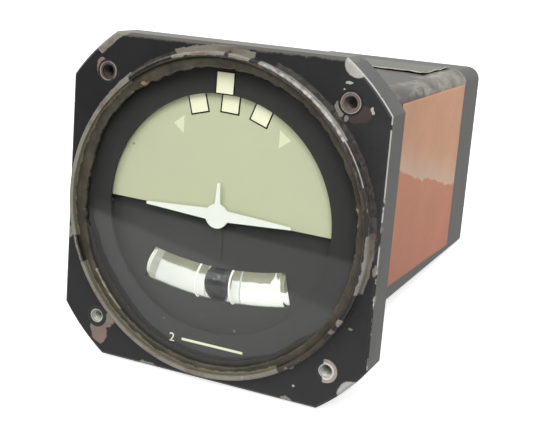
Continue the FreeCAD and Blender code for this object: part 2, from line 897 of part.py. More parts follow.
add_dressing(symbol, "Fillet", "Radius", dims.symbol_fillet, lambda edge: (
    edge.BoundBox.YLength > dims.symbol_thickness.value / 2
    and abs(edge.CenterOfMass.x) < dims.body_radius.value
    and edge.CenterOfMass.z < dims.body_radius.value))
keep(symbol, "aeroplane_symbol")

strip = new_body("strip")
strip_sketch = new_sketch(strip, "YZ_Plane")
leg_top = -dims.body_radius - dims.running_gap / 2
leg_bottom = leg_top - dims.bracket_thickness
draw_polygon(strip_sketch, [
    (symbol_back, leg_bottom + dims.bracket_tab),
    (symbol_back, leg_bottom),
    (dial_front - dims.bracket_thickness, leg_bottom),
    (dial_front - dims.bracket_thickness, leg_bottom - dims.bracket_foot),
    (dial_front, leg_bottom - dims.bracket_foot),
    (dial_front, leg_top),
    (symbol_back + dims.bracket_thickness, leg_top),
    (symbol_back + dims.bracket_thickness, leg_bottom + dims.bracket_tab),
])
strip_pad = add_pad(strip, strip_sketch, dims.bracket_width)
strip_pad.Midplane = True
keep(strip, "symbol_bracket")


# The rolling half disc on its shaft, with hub, counterweight and fork.

shaft_bore = dims.shaft_radius + dims.fit_gap
half = rod("half_blank", disc_radius, disc_front, disc_back, sweep=180,
           first=-dims.disc_rest_angle)
eye = rod("half_eye", dims.disc_eye_radius, disc_front, disc_back)
eye_bore = rod("half_bore", shaft_bore, disc_front - dims.overrun,
               disc_back + dims.overrun)
keep(cut("half", combine("MultiFuse", "half_solid", [half, eye]), [eye_bore]), "half_disc")

hub_flange_back = disc_back + dims.disc_thickness
keep(turned("hub", [
    (shaft_bore, disc_back),
    (dims.disc_eye_radius, disc_back),
    (dims.disc_eye_radius, hub_flange_back),
    (dims.hub_radius, hub_flange_back),
    (dims.hub_radius, hub_end),
    (shaft_bore, hub_end),
]), "disc_hub")
keep(rod("shaft", dims.shaft_radius, disc_front, fork_back + dims.fork_thickness),
     "disc_shaft")

weight_sector = rod("weight_sector", dims.weight_radius, weight_front, weight_back,
                    sweep=dims.weight_angle, first=3 * RIGHT_ANGLE - dims.weight_angle / 2)
weight_hub = rod("weight_hub", dims.fork_hub, weight_front, weight_back)
weight_bore = rod("weight_bore", shaft_bore, weight_front - dims.overrun,
                  weight_back + dims.overrun)
keep(cut("weight", combine("MultiFuse", "weight_solid", [weight_sector, weight_hub]),
         [weight_bore]), "counterweight")

fork_collar = rod("fork_collar", dims.hub_radius, fork_front - 2 * dims.fork_thickness,
                  fork_front)
fork_eye = rod("fork_eye", dims.fork_hub, fork_front, fork_back)
fork_blade = box("fork_blade", (-dims.fork_arm / 2, fork_front, -dims.fork_reach),
                 (dims.fork_arm / 2, fork_back, 0))
fork_slot = box("fork_slot",
                (-dims.fork_slot / 2, fork_front - dims.overrun, -dims.fork_reach - dims.overrun),
                (dims.fork_slot / 2, fork_back + dims.overrun, dims.fork_slot - dims.fork_radius))
fork_bore = rod("fork_bore", shaft_bore, fork_front - 2 * dims.fork_thickness - dims.overrun,
                fork_back + dims.overrun)
keep(cut("fork", combine("MultiFuse", "fork_solid", [fork_collar, fork_eye, fork_blade]),
         [fork_slot, fork_bore]), "disc_fork")


# Frame of the mechanism: a front and a rear plate on pillars, each with a pivot block.


def end_plate(name, front, back):
    body = new_body(name)
    rounded_block(body, inner_half_width - dims.running_gap, inner_half_height - dims.running_gap,
                  inner_radius, front, back)
    round_holes(body, dims.stud_radius + dims.fit_gap, front - dims.overrun,
                back + dims.overrun, corner_places)
    return body


front_block_end = -front_pivot
front_block_start = front_block_end - dims.pivot_block_length
rear_block_end = rear_pivot + dims.pivot_block_length
arm_middle = (front_pivot + dims.pivot_block_length / 2) * tilt_sine
arm_bottom = arm_middle - dims.arm_height / 2
arm_end = (gimbal_depth + (front_block_end + arm_bottom * tilt_sine) / tilt_cosine
           - dims.running_gap)
rear_middle = -(rear_pivot + dims.pivot_block_length / 2) * tilt_sine
rear_arm_top = rear_middle + dims.arm_height / 2
rear_arm_start = (gimbal_depth + (rear_pivot + rear_arm_top * tilt_sine) / tilt_cosine
                  + dims.running_gap)

front_solid = combine("MultiFuse", "front_solid", [
    end_plate("front_blank", spigot_end, plate_back),
    rod("shaft_boss", dims.shaft_boss_radius, spigot_end, shaft_boss_end),
    box("front_arm", (-dims.arm_width / 2, plate_back - dims.plate_thickness / 2, arm_bottom),
        (dims.arm_width / 2, arm_end, arm_bottom + dims.arm_height)),
    canted_rod("front_block", dims.pivot_block_radius, front_block_start, front_block_end),
])
bush_seat = dims.bush_radius + dims.fit_gap
rear_bush_start = shaft_boss_end - dims.bush_length
keep(cut("front_bored", front_solid, [
    rod("shaft_tunnel", (dims.bush_radius + dims.shaft_radius) / 2, spigot_end - dims.overrun,
        shaft_boss_end + dims.overrun),
    rod("front_seat", bush_seat, spigot_end - dims.overrun, spigot_end + dims.bush_length),
    rod("back_seat", bush_seat, rear_bush_start, shaft_boss_end + dims.overrun),
    canted_rod("front_pivot_seat", dims.pivot_bush_radius + dims.fit_gap,
               front_block_start - dims.overrun, front_block_end + dims.overrun),
]), "front_plate")

rear_solid = combine("MultiFuse", "rear_solid", [
    end_plate("rear_blank", rear_plate_front, rear_plate_back),
    box("rear_arm", (-dims.arm_width / 2, rear_arm_start, rear_arm_top - dims.arm_height),
        (dims.arm_width / 2, rear_plate_front + dims.plate_thickness / 2, rear_arm_top)),
    canted_rod("rear_block", dims.pivot_block_radius, rear_pivot, rear_block_end),
])
keep(cut("rear_bored", rear_solid, [
    canted_rod("rear_pivot_seat", dims.pivot_bush_radius + dims.fit_gap,
               rear_pivot - dims.overrun, rear_block_end),
]), "rear_plate")

bushes = [turned(f"dial_bush_{number}", ring_profile(
    dims.shaft_radius + dims.shaft_gap, dims.bush_radius, start, start + dims.bush_length))
    for number, start in enumerate((spigot_end, rear_bush_start))]
keep(combine("Compound", "bush_set", bushes), "dial_bushes")

pivot_bushes = [canted(turned(f"pivot_bush_{number}", ring_profile(
    dims.pivot_radius + dims.shaft_gap, dims.pivot_bush_radius, start, end)))
    for number, (start, end) in enumerate(((front_block_start, front_block_end),
                                           (rear_pivot, rear_block_end)))]
keep(combine("Compound", "pivot_bush_set", pivot_bushes), "pivot_bushes")

stop_angle = dims.disc_travel + arc_sine(
    (dims.fork_arm / 2 + dims.stop_radius + dims.running_gap) / dims.stop_circle)
stops = [rod(f"stop_{side + 1}", dims.stop_radius, plate_back, fork_back,
             x=side * dims.stop_circle * sine(stop_angle),
             z=-dims.stop_circle * cosine(stop_angle)) for side in SIDES]
keep(combine("Compound", "stop_set", stops), "stop_pins")

# A pillar has a stud in front, and a tapped hole behind for the next one.
post_hole = dims.stud_length + dims.plate_thickness


def posts(name, start, end, stud, hole):
    """Four posts with a stud through the plate in front and a tapped hole behind."""
    made = []
    for x, z in corner_places:
        post = turned(f"{name}_{len(made)}", [
            (0, start - stud),
            (dims.stud_radius, start - stud),
            (dims.stud_radius, start),
            (dims.pillar_radius, start),
            (dims.pillar_radius, end),
            (dims.stud_radius + dims.fit_gap, end),
            (dims.stud_radius + dims.fit_gap, end - hole),
            (0, end - hole),
        ])
        made.append(place(post, x, 0, z))
    return combine("Compound", name + "_set", made)


stud_reach = dims.plate_thickness + dims.stud_length
keep(posts("pillar", plate_back, rear_plate_front, stud_reach, post_hole), "frame_pillars")
keep(posts("cover_post", rear_plate_back, cover_inside, stud_reach,
           dims.cover_screw_length), "cover_posts")


# Gimbal: a canted frame on two pivots, with the arm and pin that drive the fork.

frame = new_body("gimbal")
frame_sketch = new_sketch(frame, "XY_Plane")
draw_rounded_rectangle(frame_sketch, gimbal_half_width, gimbal_half_length, dims.gimbal_corner)
frame_pad = add_pad(frame, frame_sketch, dims.gimbal_thickness)
frame_pad.Midplane = True
inside_sketch = new_sketch(frame, "XY_Plane")
draw_rounded_rectangle(inside_sketch, gimbal_inside, gimbal_half_length - dims.gimbal_bar,
                       dims.gimbal_corner)
add_pocket(frame, inside_sketch, dims.gimbal_thickness + dims.overrun, midplane=True)
bearing_bosses = []
bearing_seats = []
for side in SIDES:
    outline = ring_profile(as_size(0), dims.bearing_boss, gimbal_inside, gimbal_half_width)
    bearing_bosses.append(place(turned(f"bearing_boss_{side + 1}", outline),
                                axis=Z_AXIS, angle=side * RIGHT_ANGLE))
    outline = ring_profile(as_size(0), dims.bearing_radius + dims.fit_gap,
                           gimbal_inside - dims.overrun, gimbal_half_width + dims.overrun)
    bearing_seats.append(place(turned(f"bearing_seat_{side + 1}", outline),
                               axis=Z_AXIS, angle=side * RIGHT_ANGLE))
pivot_hole = rod("pivot_hole", dims.pivot_radius + dims.fit_gap,
                 -gimbal_half_length - dims.overrun, gimbal_half_length + dims.overrun)
keep(canted(cut("gimbal_bored", combine("MultiFuse", "gimbal_solid", [frame] + bearing_bosses),
                bearing_seats + [pivot_hole])), "gimbal_frame")

pivot_pins = [
    rod("front_pin", dims.pivot_radius, front_block_start + dims.pivot_margin,
        dims.gimbal_bar - gimbal_half_length),
    rod("rear_pin", dims.pivot_radius, gimbal_half_length - dims.gimbal_bar,
        rear_block_end - dims.pivot_margin),
]
keep(canted(combine("Compound", "pivot_pin_set", pivot_pins)), "pivot_pins")

drive_radius = tilt_cosine * ((gimbal_depth - fork_middle) * tilt_sine / tilt_cosine
                              + dims.fork_radius)
drive_arm_place = dims.gimbal_bar / 2 - gimbal_half_length
drive_pin_end = ((fork_middle - gimbal_depth + drive_radius * tilt_sine) / tilt_cosine
                 - dims.drive_pin_overhang)
drive_arm = box("drive_blade",
                (-dims.drive_arm_width / 2, drive_arm_place - dims.drive_arm_thickness / 2,
                 -drive_radius - dims.drive_arm_width / 2),
                (dims.drive_arm_width / 2, drive_arm_place + dims.drive_arm_thickness / 2,
                 -dims.gimbal_thickness / 2))
drive_pin = rod("drive_pin", dims.drive_pin_radius, drive_pin_end, drive_arm_place,
                z=-drive_radius)
keep(canted(combine("MultiFuse", "drive_solid", [drive_arm, drive_pin])), "drive_arm")


# Centring hairspring on the front pivot: half turns whose radius grows by half the pitch.

spring_middle = -gimbal_half_length - dims.spring_gap
spring_front = spring_middle - dims.spring_height / 2
spring_back = spring_middle + dims.spring_height / 2
half_turns = []
for number in range(2 * int(dims.spring_turns.value)):
    radius = dims.spring_inner + number * dims.spring_pitch / 2
    start = 2 * RIGHT_ANGLE * (number % 2)
    shift = dims.spring_pitch / 2 * (number % 2)
    outer = rod(f"coil_outer_{number}", radius + dims.spring_strip, spring_front, spring_back,
                x=shift, sweep=2 * RIGHT_ANGLE, first=start)
    inner = rod(f"coil_inner_{number}", radius, spring_front - dims.overrun,
                spring_back + dims.overrun, x=shift)
    half_turns.append(cut(f"coil_{number}", outer, [inner]))
keep(canted(combine("MultiFuse", "spring_coil", half_turns)), "hairspring")
spring_end = dims.spring_inner + dims.spring_turns * dims.spring_pitch + dims.spring_strip
spring_post = rod("spring_post", dims.spring_post_radius, -front_pivot, spring_back,
                  x=spring_end + dims.spring_post_radius + dims.fit_gap)
keep(canted(combine("Compound", "spring_post_set", [spring_post])), "spring_stud")
collet_start = spring_middle - dims.collet_length / 2
keep(canted(turned("collet", ring_profile(
    dims.pivot_radius + dims.fit_gap, dims.collet_radius, collet_start,
    collet_start + dims.collet_length))), "spring_collet")


# Viscous damper on the rear pivot: a drum in a cup.

cup_inner = dims.drum_radius + dims.cup_gap
cup_outer = cup_inner + dims.cup_wall
cup_start = rear_pivot - dims.cup_length
cup_floor = rear_pivot - dims.cup_wall
cup_hole = dims.pivot_radius + 2 * dims.running_gap
drum_start = gimbal_half_length + dims.drum_gap
keep(canted(turned("drum", ring_profile(
    dims.pivot_radius + dims.fit_gap, dims.drum_radius, drum_start,
    drum_start + dims.drum_length))), "damper_drum")
keep(canted(turned("cup", [
    (cup_hole, cup_floor),
    (cup_inner, cup_floor),
    (cup_inner, cup_start),
    (cup_outer, cup_start),
    (cup_outer, rear_pivot),
    (cup_hole, rear_pivot),
])), "damper_cup")


# Rotor: a heavy rimmed wheel with its motor winding, on a shaft across the gimbal.

rotor_start = -rotor_half_width
rim_inner = dims.rotor_radius - dims.rotor_rim
web_end = rotor_start + dims.rotor_web
rotor_bore = dims.rotor_shaft_radius + dims.fit_gap
keep(rotor_place(turned("wheel", [
    (rotor_bore, rotor_start),
    (dims.rotor_radius, rotor_start),
    (dims.rotor_radius, -rotor_start),
    (rim_inner, -rotor_start),
    (rim_inner, web_end),
    (dims.rotor_hub, web_end),
    (dims.rotor_hub, rotor_start + dims.rotor_hub_length),
    (rotor_bore, rotor_start + dims.rotor_hub_length),
])), "rotor_wheel")
winding_outer = rim_inner - dims.fit_gap
winding_inner = winding_outer - dims.winding_thickness
keep(rotor_place(turned("winding", ring_profile(
    winding_inner, winding_outer,
    web_end + dims.running_gap, -rotor_start - dims.running_gap))), "rotor_winding")
spindle_end = gimbal_half_width - dims.rotor_shaft_recess
keep(rotor_place(turned("spindle", ring_profile(
    as_size(0), dims.rotor_shaft_radius, -spindle_end, spindle_end))), "rotor_shaft")
commutator_end = dims.commutator_gap - gimbal_inside
commutator_start = commutator_end + dims.commutator_length
keep(rotor_place(turned("segments", ring_profile(
    rotor_bore, dims.commutator_radius, commutator_end, commutator_start))), "commutator")

bearings = [rotor_place(turned(f"bearing_{number}", ring_profile(
    dims.rotor_shaft_radius + dims.shaft_gap, dims.bearing_radius, start,
    start + dims.gimbal_bar)))
    for number, start in enumerate((-gimbal_half_width, gimbal_inside))]
keep(combine("Compound", "bearing_set", bearings), "rotor_bearings")

magnet_end = rotor_half_width - dims.magnet_margin
magnet_start = magnet_end - dims.magnet_length
carrier_step = gimbal_inside - dims.carrier_flange_thickness
keep(rotor_place(turned("carrier", [
    (dims.carrier_bore, magnet_start),
    (dims.carrier_radius, magnet_start),
    (dims.carrier_radius, carrier_step),
    (dims.carrier_flange, carrier_step),
    (dims.carrier_flange, gimbal_inside),
    (dims.carrier_bore, gimbal_inside),
])), "magnet_carrier")
keep(rotor_place(turned("magnet", ring_profile(
    dims.carrier_radius + dims.fit_gap, winding_inner - dims.magnet_gap, magnet_start, magnet_end))),
     "field_magnet")

guide_end = commutator_start - dims.shaft_gap
guide_top = dims.holder_outer - dims.brush_width / 2 * dims.brush_width / dims.holder_outer
holder_ring = place(turned("holder_ring", ring_profile(
    dims.holder_inner, dims.holder_outer, -gimbal_inside,
    dims.holder_thickness - gimbal_inside)), axis=Z_AXIS, angle=-RIGHT_ANGLE)
guides = []
brushes = []
brush_middle = (commutator_start + commutator_end) / 2
for side in SIDES:
    low, high = sorted((side * dims.holder_guide_start, side * guide_top),
                       key=lambda size: size.value)
    guides.append(box(f"guide_{side + 1}", (-gimbal_inside, -dims.brush_width, low),
                      (guide_end, dims.brush_width, high)))
    low, high = sorted((side * (dims.commutator_radius + dims.running_gap),
                        side * dims.holder_guide_start), key=lambda size: size.value)
    brushes.append(box(f"brush_{side + 1}",
                       (brush_middle - dims.brush_length / 2, -dims.brush_width / 2, low),
                       (brush_middle + dims.brush_length / 2, dims.brush_width / 2, high)))
keep(canted(combine("MultiFuse", "holder", [holder_ring] + guides)), "brush_holder")
keep(canted(combine("Compound", "brush_set", brushes)), "brushes")


# Can and rear cover.

can = new_body("can")
rounded_block(can, can_half_width, can_half_height, dims.can_radius, dims.flange_thickness,
              can_end, dims.can_lower_radius)
rounded_hole(can, inner_half_width, inner_half_height, inner_radius,
             dims.flange_thickness - dims.overrun, can_end + dims.overrun)
keep(cut("can_drilled", can, [case_screw_holes]), "case_body")

connector_barrel = dims.connector_radius - dims.connector_step
connector_screw_places = [(side * dims.connector_screw_spacing / 2,
                           up * dims.connector_screw_spacing / 2) for side, up in MIRRORS]
cover = new_body("cover")
lip_start = can_end - dims.cover_lip
rounded_block(cover, can_half_width, can_half_height, dims.can_radius, can_end,
              cover_end, dims.can_lower_radius)
rounded_block(cover, spigot_half_width, spigot_half_height, spigot_radius, lip_start,
              can_end)
rounded_hole(cover, spigot_half_width - dims.cover_wall, spigot_half_height - dims.cover_wall,
             spigot_radius - dims.cover_wall, lip_start - dims.overrun, cover_inside)
round_holes(cover, dims.stud_radius + dims.fit_gap, cover_inside - dims.overrun,
            cover_end + dims.overrun, corner_places)
round_holes(cover, connector_barrel + dims.fit_gap, cover_inside - dims.overrun,
            cover_end + dims.overrun)
round_holes(cover, dims.connector_screw_radius + dims.fit_gap, cover_inside - dims.overrun,
            cover_end + dims.overrun, connector_screw_places)
add_dressing(cover, "Chamfer", "Size", dims.flange_chamfer, lambda edge: (
    abs(edge.BoundBox.YMin - cover_end.value) < NEGLIGIBLE
    and edge.BoundBox.DiagonalLength > 0
    and max(abs(edge.CenterOfMass.x) - can_half_width.value + dims.can_radius.value,
            abs(edge.CenterOfMass.z) - can_half_height.value + dims.can_radius.value) > 0
    and math.hypot(edge.CenterOfMass.x, edge.CenterOfMass.z) > dims.connector_flange.value
    and edge.Length > dims.can_radius.value))
keep(cover, "rear_cover")


def outward_screws(name, places, head, head_height, shank, length, seat):
    """Pan head screws on the back, each pointing forward."""
    screws = []
    for x, z in places:
        screw = turned(f"{name}_{len(screws)}", pan_profile(head, head_height, shank, length))
        screws.append(place(screw, x, seat, z, Z_AXIS, 2 * RIGHT_ANGLE))
    return combine("Compound", name + "_set", screws)


keep(outward_screws("cover_screw", corner_places, dims.cover_screw_head,
                    dims.cover_screw_height, dims.stud_radius, dims.cover_screw_length,
                    cover_end), "cover_screws")


# Electrical receptacle on the cover, its contacts, and the leads to the terminal board.

shell_back = cover_end + dims.connector_plate
shell_end = cover_end + dims.connector_length
barrel_start = cover_end - dims.connector_barrel_length
shell_bore = dims.connector_radius - dims.connector_wall
flange_reach = dims.connector_flange / 2
shell = new_body("shell")
shell_sketch = new_sketch(shell, "XZ_Plane", -cover_end)
draw_polygon(shell_sketch, [(side * flange_reach, up * flange_reach) for side, up in MIRRORS])
add_pad(shell, shell_sketch, dims.connector_plate, backwards=True)
round_block(shell, dims.connector_radius, cover_end, shell_end)
round_block(shell, connector_barrel, barrel_start, cover_end)
round_holes(shell, shell_bore, barrel_start - dims.overrun, shell_end + dims.overrun)
round_holes(shell, dims.connector_screw_radius + dims.fit_gap, cover_end - dims.overrun,
            shell_back + dims.overrun, connector_screw_places)
keep(shell, "connector_shell")
keep(outward_screws("connector_screw", connector_screw_places, dims.connector_screw_head,
                    dims.connector_screw_height, dims.connector_screw_radius,
                    dims.connector_plate + dims.cover_floor, shell_back), "connector_screws")

contact_places = [on_circle(dims.contact_circle, angle) for angle in THIRD_ANGLES]
insert_end = shell_end - dims.insert_recess
insert_core = rod("insert_core", shell_bore - dims.fit_gap, barrel_start, insert_end)
contact_holes = [rod(f"contact_hole_{number}", dims.contact_radius + dims.fit_gap,
                     barrel_start - dims.overrun, insert_end + dims.overrun, x=x, z=z)
                 for number, (x, z) in enumerate(contact_places)]
keep(cut("insert_block", insert_core, contact_holes), "connector_insert")

tail_start = barrel_start - dims.contact_tail
contacts = []
for x, z in contact_places:
    contact = turned(f"contact_{len(contacts)}", [
        (0, tail_start),
        (dims.contact_radius, tail_start),
        (dims.contact_radius, insert_end),
        (dims.contact_bore, insert_end),
        (dims.contact_bore, insert_end - dims.contact_bore_depth),
        (0, insert_end - dims.contact_bore_depth),
    ])
    contacts.append(place(contact, x, 0, z))
keep(combine("Compound", "contact_set", contacts), "connector_contacts")

board_back = rear_plate_back + dims.board_thickness
keep(box("board", (-dims.board_width / 2, rear_plate_back, -dims.board_height / 2),
         (dims.board_width / 2, board_back, dims.board_height / 2)), "terminal_board")
leads = [rod(f"lead_{number}", dims.lead_radius, board_back, tail_start, x=x, z=z)
         for number, (x, z) in enumerate(contact_places)]
keep(combine("Compound", "lead_set", leads), "power_leads")


# Every feature and every sub-part is checked before anything is written.

doc.recompute()
for feature in doc.Objects:
    if "Invalid" in feature.State or "Error" in feature.State:
        raise RuntimeError(f"{feature.Name} failed: {feature.State}")
for subpart in subparts:
    shape = subpart.Shape
    if shape.isNull() or not shape.isValid() or not shape.Solids:
        raise RuntimeError(f"{subpart.Label} has no valid solid")
for subpart in subparts:
    subpart.Shape.exportStep(os.path.join("parts", subpart.Label + ".step"))
print(len(subparts), "sub-parts written")
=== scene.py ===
# Turn coordinator: finishes, marks, light and camera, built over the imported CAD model
import bpy
import bmesh
import json
import math
import random
from functools import reduce
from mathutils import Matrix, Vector, noise


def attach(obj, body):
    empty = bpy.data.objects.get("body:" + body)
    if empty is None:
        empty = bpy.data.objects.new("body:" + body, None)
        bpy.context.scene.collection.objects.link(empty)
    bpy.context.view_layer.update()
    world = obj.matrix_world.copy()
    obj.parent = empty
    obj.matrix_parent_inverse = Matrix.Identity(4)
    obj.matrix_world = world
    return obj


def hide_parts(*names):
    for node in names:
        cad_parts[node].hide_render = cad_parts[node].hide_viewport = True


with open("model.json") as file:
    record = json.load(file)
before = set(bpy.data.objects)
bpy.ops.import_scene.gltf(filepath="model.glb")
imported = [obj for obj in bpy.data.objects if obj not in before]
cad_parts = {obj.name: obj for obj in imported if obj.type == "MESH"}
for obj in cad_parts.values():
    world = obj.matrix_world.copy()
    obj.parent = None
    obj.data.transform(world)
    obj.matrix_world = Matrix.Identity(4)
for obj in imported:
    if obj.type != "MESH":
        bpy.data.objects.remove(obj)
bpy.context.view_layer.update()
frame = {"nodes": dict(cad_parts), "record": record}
nodes = frame["nodes"]
random.seed(7)
milli = 0.001
insertOffset = 62.865 / 2  # the four inserts stand on a square of this half width
backward = Vector((0, 1, 0))
finishes = {}


def mm(*values):
    return Vector(values) * milli


def addObject(name, data):
    item = bpy.data.objects.new(name, data)
    bpy.context.scene.collection.objects.link(item)
    return item


def seen(red, green, blue):  # a colour as the screen shows it, 0 to 255
    def linear(level):
        level /= 255
        return level / 12.92 if level < 0.04045 else ((level + 0.055) / 1.055) ** 2.4
    return linear(red), linear(green), linear(blue), 1


# Short ways to write shader nodes. They all draw in one tree: that of the newest material or group.

class SurfaceValue:  # the output of a node, which adds and multiplies like a number
    def __init__(self, node, key=0):
        self.socket = node.outputs[key]

    def __add__(self, other):
        return calc("ADD", self, other)

    def __sub__(self, other):
        return calc("SUBTRACT", self, other)

    def __rsub__(self, other):
        return calc("SUBTRACT", other, self)

    def __mul__(self, other):
        return calc("MULTIPLY", self, other)

    def __abs__(self):
        return calc("ABSOLUTE", self)


def feed(node, values):  # links nodes and surface values to the inputs, and sets plain numbers
    for key, value in values.items():
        if isinstance(value, bpy.types.Node):
            value = SurfaceValue(value)
        if isinstance(value, SurfaceValue):
            tree.links.new(value.socket, node.inputs[key])
        else:
            node.inputs[key].default_value = value
    return node


def addNode(kind, values=None, **settings):
    node = tree.nodes.new(kind)
    for key, value in settings.items():
        setattr(node, key, value)
    return feed(node, values or {})


def outputsOf(node):
    return {socket.name: SurfaceValue(node, number) for number, socket in enumerate(node.outputs)}


def calc(operation, *values):
    return SurfaceValue(addNode("ShaderNodeMath", dict(enumerate(values)), operation=operation))


def vectorCalc(operation, *values):
    node = addNode("ShaderNodeVectorMath", dict(enumerate(values)), operation=operation)
    return SurfaceValue(node, "Value" if operation in ("LENGTH", "DOT_PRODUCT") else 0)


def most(*values):
    return reduce(lambda first, second: calc("MAXIMUM", first, second), values)


def least(*values):
    return reduce(lambda first, second: calc("MINIMUM", first, second), values)


def distance(first, second):
    return calc("SQRT", first * first + second * second)


def mixColour(factor, first, second, blend="MIX"):
    return SurfaceValue(addNode("ShaderNodeMix", {0: factor, 6: first, 7: second},
                                data_type="RGBA", blend_type=blend), 2)


def mixValue(factor, first, second):
    return SurfaceValue(addNode("ShaderNodeMix", {0: factor, 2: first, 3: second}))


def coat(surface, *layers):  # (mask, colour) layers laid over a surface
    for mask, colour in layers:
        surface = mixColour(mask, surface, colour)
    return surface


def tint(colour, tone):  # a colour made lighter or darker by a value
    grey = SurfaceValue(addNode("ShaderNodeCombineColor", {0: tone, 1: tone, 2: tone}))
    return mixColour(1.0, colour, grey, "MULTIPLY")


def grainAt(place, scale, detail=4.0, rough=0.6):
    return SurfaceValue(addNode("ShaderNodeTexNoise", {
        "Vector": place, "Scale": scale, "Detail": detail, "Roughness": rough}), "Fac")


def ramp(value, low, high):  # 0 at low, 1 at high
    return SurfaceValue(addNode("ShaderNodeMapRange",
                                {"Value": value, "From Min": low, "From Max": high}))


def coordinate(kind="Object"):
    return SurfaceValue(addNode("ShaderNodeTexCoord"), kind)


def split(value, kind="ShaderNodeSeparateXYZ"):
    node = addNode(kind, {0: value})
    return [SurfaceValue(node, number) for number in range(3)]


def placeInMm(place):
    return split(vectorCalc("MULTIPLY", place, (1000, 1000, 1000)))


def newGroup(name, inputs, outputs):
    global tree
    tree = bpy.data.node_groups.new(name, "ShaderNodeTree")
    for label, value in inputs.items():
        kind = "NodeSocketVector" if isinstance(value, tuple) else "NodeSocketFloat"
        socket = tree.interface.new_socket(label, in_out="INPUT", socket_type=kind)
        socket.default_value = value
    for label in outputs:
        tree.interface.new_socket(label, in_out="OUTPUT", socket_type="NodeSocketFloat")
    return outputsOf(addNode("NodeGroupInput")), addNode("NodeGroupOutput")


def useGroup(name, values):
    return outputsOf(addNode("ShaderNodeGroup", values, node_tree=bpy.data.node_groups[name]))


# Effects that several finishes share. Places and sizes are in metres.

def makeSpotGroup():  # a ragged patch of paint gone, around a place
    entry, result = newGroup("raggedSpot", {
        "Place": (0, 0, 0), "Reach": (0.002, 0.002, 0.002), "Ragged": 0.6, "Grain": 900}, ["Mask"])
    here = coordinate()
    away = vectorCalc("DIVIDE", vectorCalc("SUBTRACT", here, entry["Place"]), entry["Reach"])
    wobble = (grainAt(here, entry["Grain"]) - 0.5) * entry["Ragged"]
    feed(result, {"Mask": ramp(1.0 - vectorCalc("LENGTH", away) + wobble * 2.0, 0.0, 0.08)})


def makeArcGroup():  # a ragged patch along an arc about the dial's axis
    entry, result = newGroup("raggedArc", {
        "Inner": 0.038, "Outer": 0.040, "Angle": 90, "Half Angle": 10, "Ragged": 0.0006,
        "Grain": 700, "Deepest": 1.0}, ["Mask"])
    here = coordinate()
    x, y, z = split(here)
    radius = distance(x, z)
    turn = calc("RADIANS", entry["Angle"])
    along = x * calc("COSINE", turn) + z * calc("SINE", turn)
    across = calc("ARCCOSINE", calc("DIVIDE", along, radius))
    ends = (calc("RADIANS", entry["Half Angle"]) - across) * radius
    depth = least(ends, radius - entry["Inner"], entry["Outer"] - radius, entry["Deepest"] - y)
    wobble = (grainAt(here, entry["Grain"]) - 0.5) * (entry["Ragged"] * 4.0)
    feed(result, {"Mask": ramp(depth + wobble, 0.0, 0.00015)})


def makeEdgeGroup():  # paint rubbed off the edges
    entry, result = newGroup("edgeWear", {"Width": 0.0008, "Amount": 1.0, "Breakup": 0.5,
                                          "Grain": 400}, ["Mask"])
    rounded = SurfaceValue(addNode("ShaderNodeBevel", {"Radius": entry["Width"]}, samples=6))
    flat = SurfaceValue(addNode("ShaderNodeNewGeometry"), "Normal")
    bend = (1.0 - vectorCalc("DOT_PRODUCT", rounded, flat)) * (entry["Amount"] * 9.0)
    rub = grainAt(coordinate(), entry["Grain"], 6.0, 0.7) * entry["Breakup"] * 2.4
    feed(result, {"Mask": ramp(bend - rub, 0.0, 0.12)})


def makeSpeckGroup():  # sparse small marks: chips, dust and pits
    entry, result = newGroup("specks", {"Scale": 400, "Share": 0.1, "Size": 0.2}, ["Mask", "Tone"])
    here = coordinate()
    bent = SurfaceValue(addNode("ShaderNodeTexNoise", {
        "Vector": here, "Scale": entry["Scale"] * 2.0, "Detail": 3.0}), "Color")
    moved = vectorCalc("ADD", here, vectorCalc("MULTIPLY", bent, (0.0006, 0.0006, 0.0006)))
    cells = outputsOf(addNode("ShaderNodeTexVoronoi", {"Vector": moved, "Scale": entry["Scale"]}))
    chance, size, tone = split(cells["Color"], "ShaderNodeSeparateColor")
    near = entry["Size"] * (size + 0.4) - cells["Distance"]
    feed(result, {"Mask": calc("LESS_THAN", chance, entry["Share"]) * ramp(near, 0.0, 0.05),
                  "Tone": tone})


def makeMottleGroup():  # uneven tone of paint, dirt or oxide
    entry, result = newGroup("mottle", {"Scale": 60, "Low": 0.8, "High": 1.2, "Fine": 0.3},
                             ["Tone", "Height"])
    here = coordinate()
    fine = grainAt(here, entry["Scale"] * 14.0)
    both = mixValue(entry["Fine"], grainAt(here, entry["Scale"], 5.0), fine)
    tone = entry["Low"] + ramp(both, 0.3, 0.7) * (entry["High"] - entry["Low"])
    feed(result, {"Tone": tone, "Height": fine})


def makeToolMarkGroup():  # fine turned or drawn lines on bare metal
    entry, result = newGroup("toolMarks", {"Stretch": (1, 40, 1), "Scale": 200},
                             ["Tone", "Height"])
    stretched = vectorCalc("MULTIPLY", coordinate(), entry["Stretch"])
    lines = grainAt(stretched, entry["Scale"], 5.0, 0.7)
    feed(result, {"Tone": lines * 0.36 + 0.82, "Height": lines})


for makeGroup in (makeSpotGroup, makeArcGroup, makeEdgeGroup, makeSpeckGroup, makeMottleGroup,
                  makeToolMarkGroup):
    makeGroup()
print("shared effects ready")


def spots(places, grain=900, ragged=0.6):  # places: (x, y, z, reach x, reach y, reach z) in mm
    return most(*[useGroup("raggedSpot", {
        "Place": mm(*place[:3]), "Reach": mm(*place[3:]), "Grain": grain,
        "Ragged": ragged})["Mask"] for place in places])


def arcs(places, ragged=0.5, grain=700, deepest=1000):
    return most(*[useGroup("raggedArc", {  # places: (inner, outer, angle, half angle)
        "Inner": inner * milli, "Outer": outer * milli, "Angle": angle, "Half Angle": half,
        "Ragged": ragged * milli, "Grain": grain, "Deepest": deepest * milli})["Mask"]
        for inner, outer, angle, half in places])


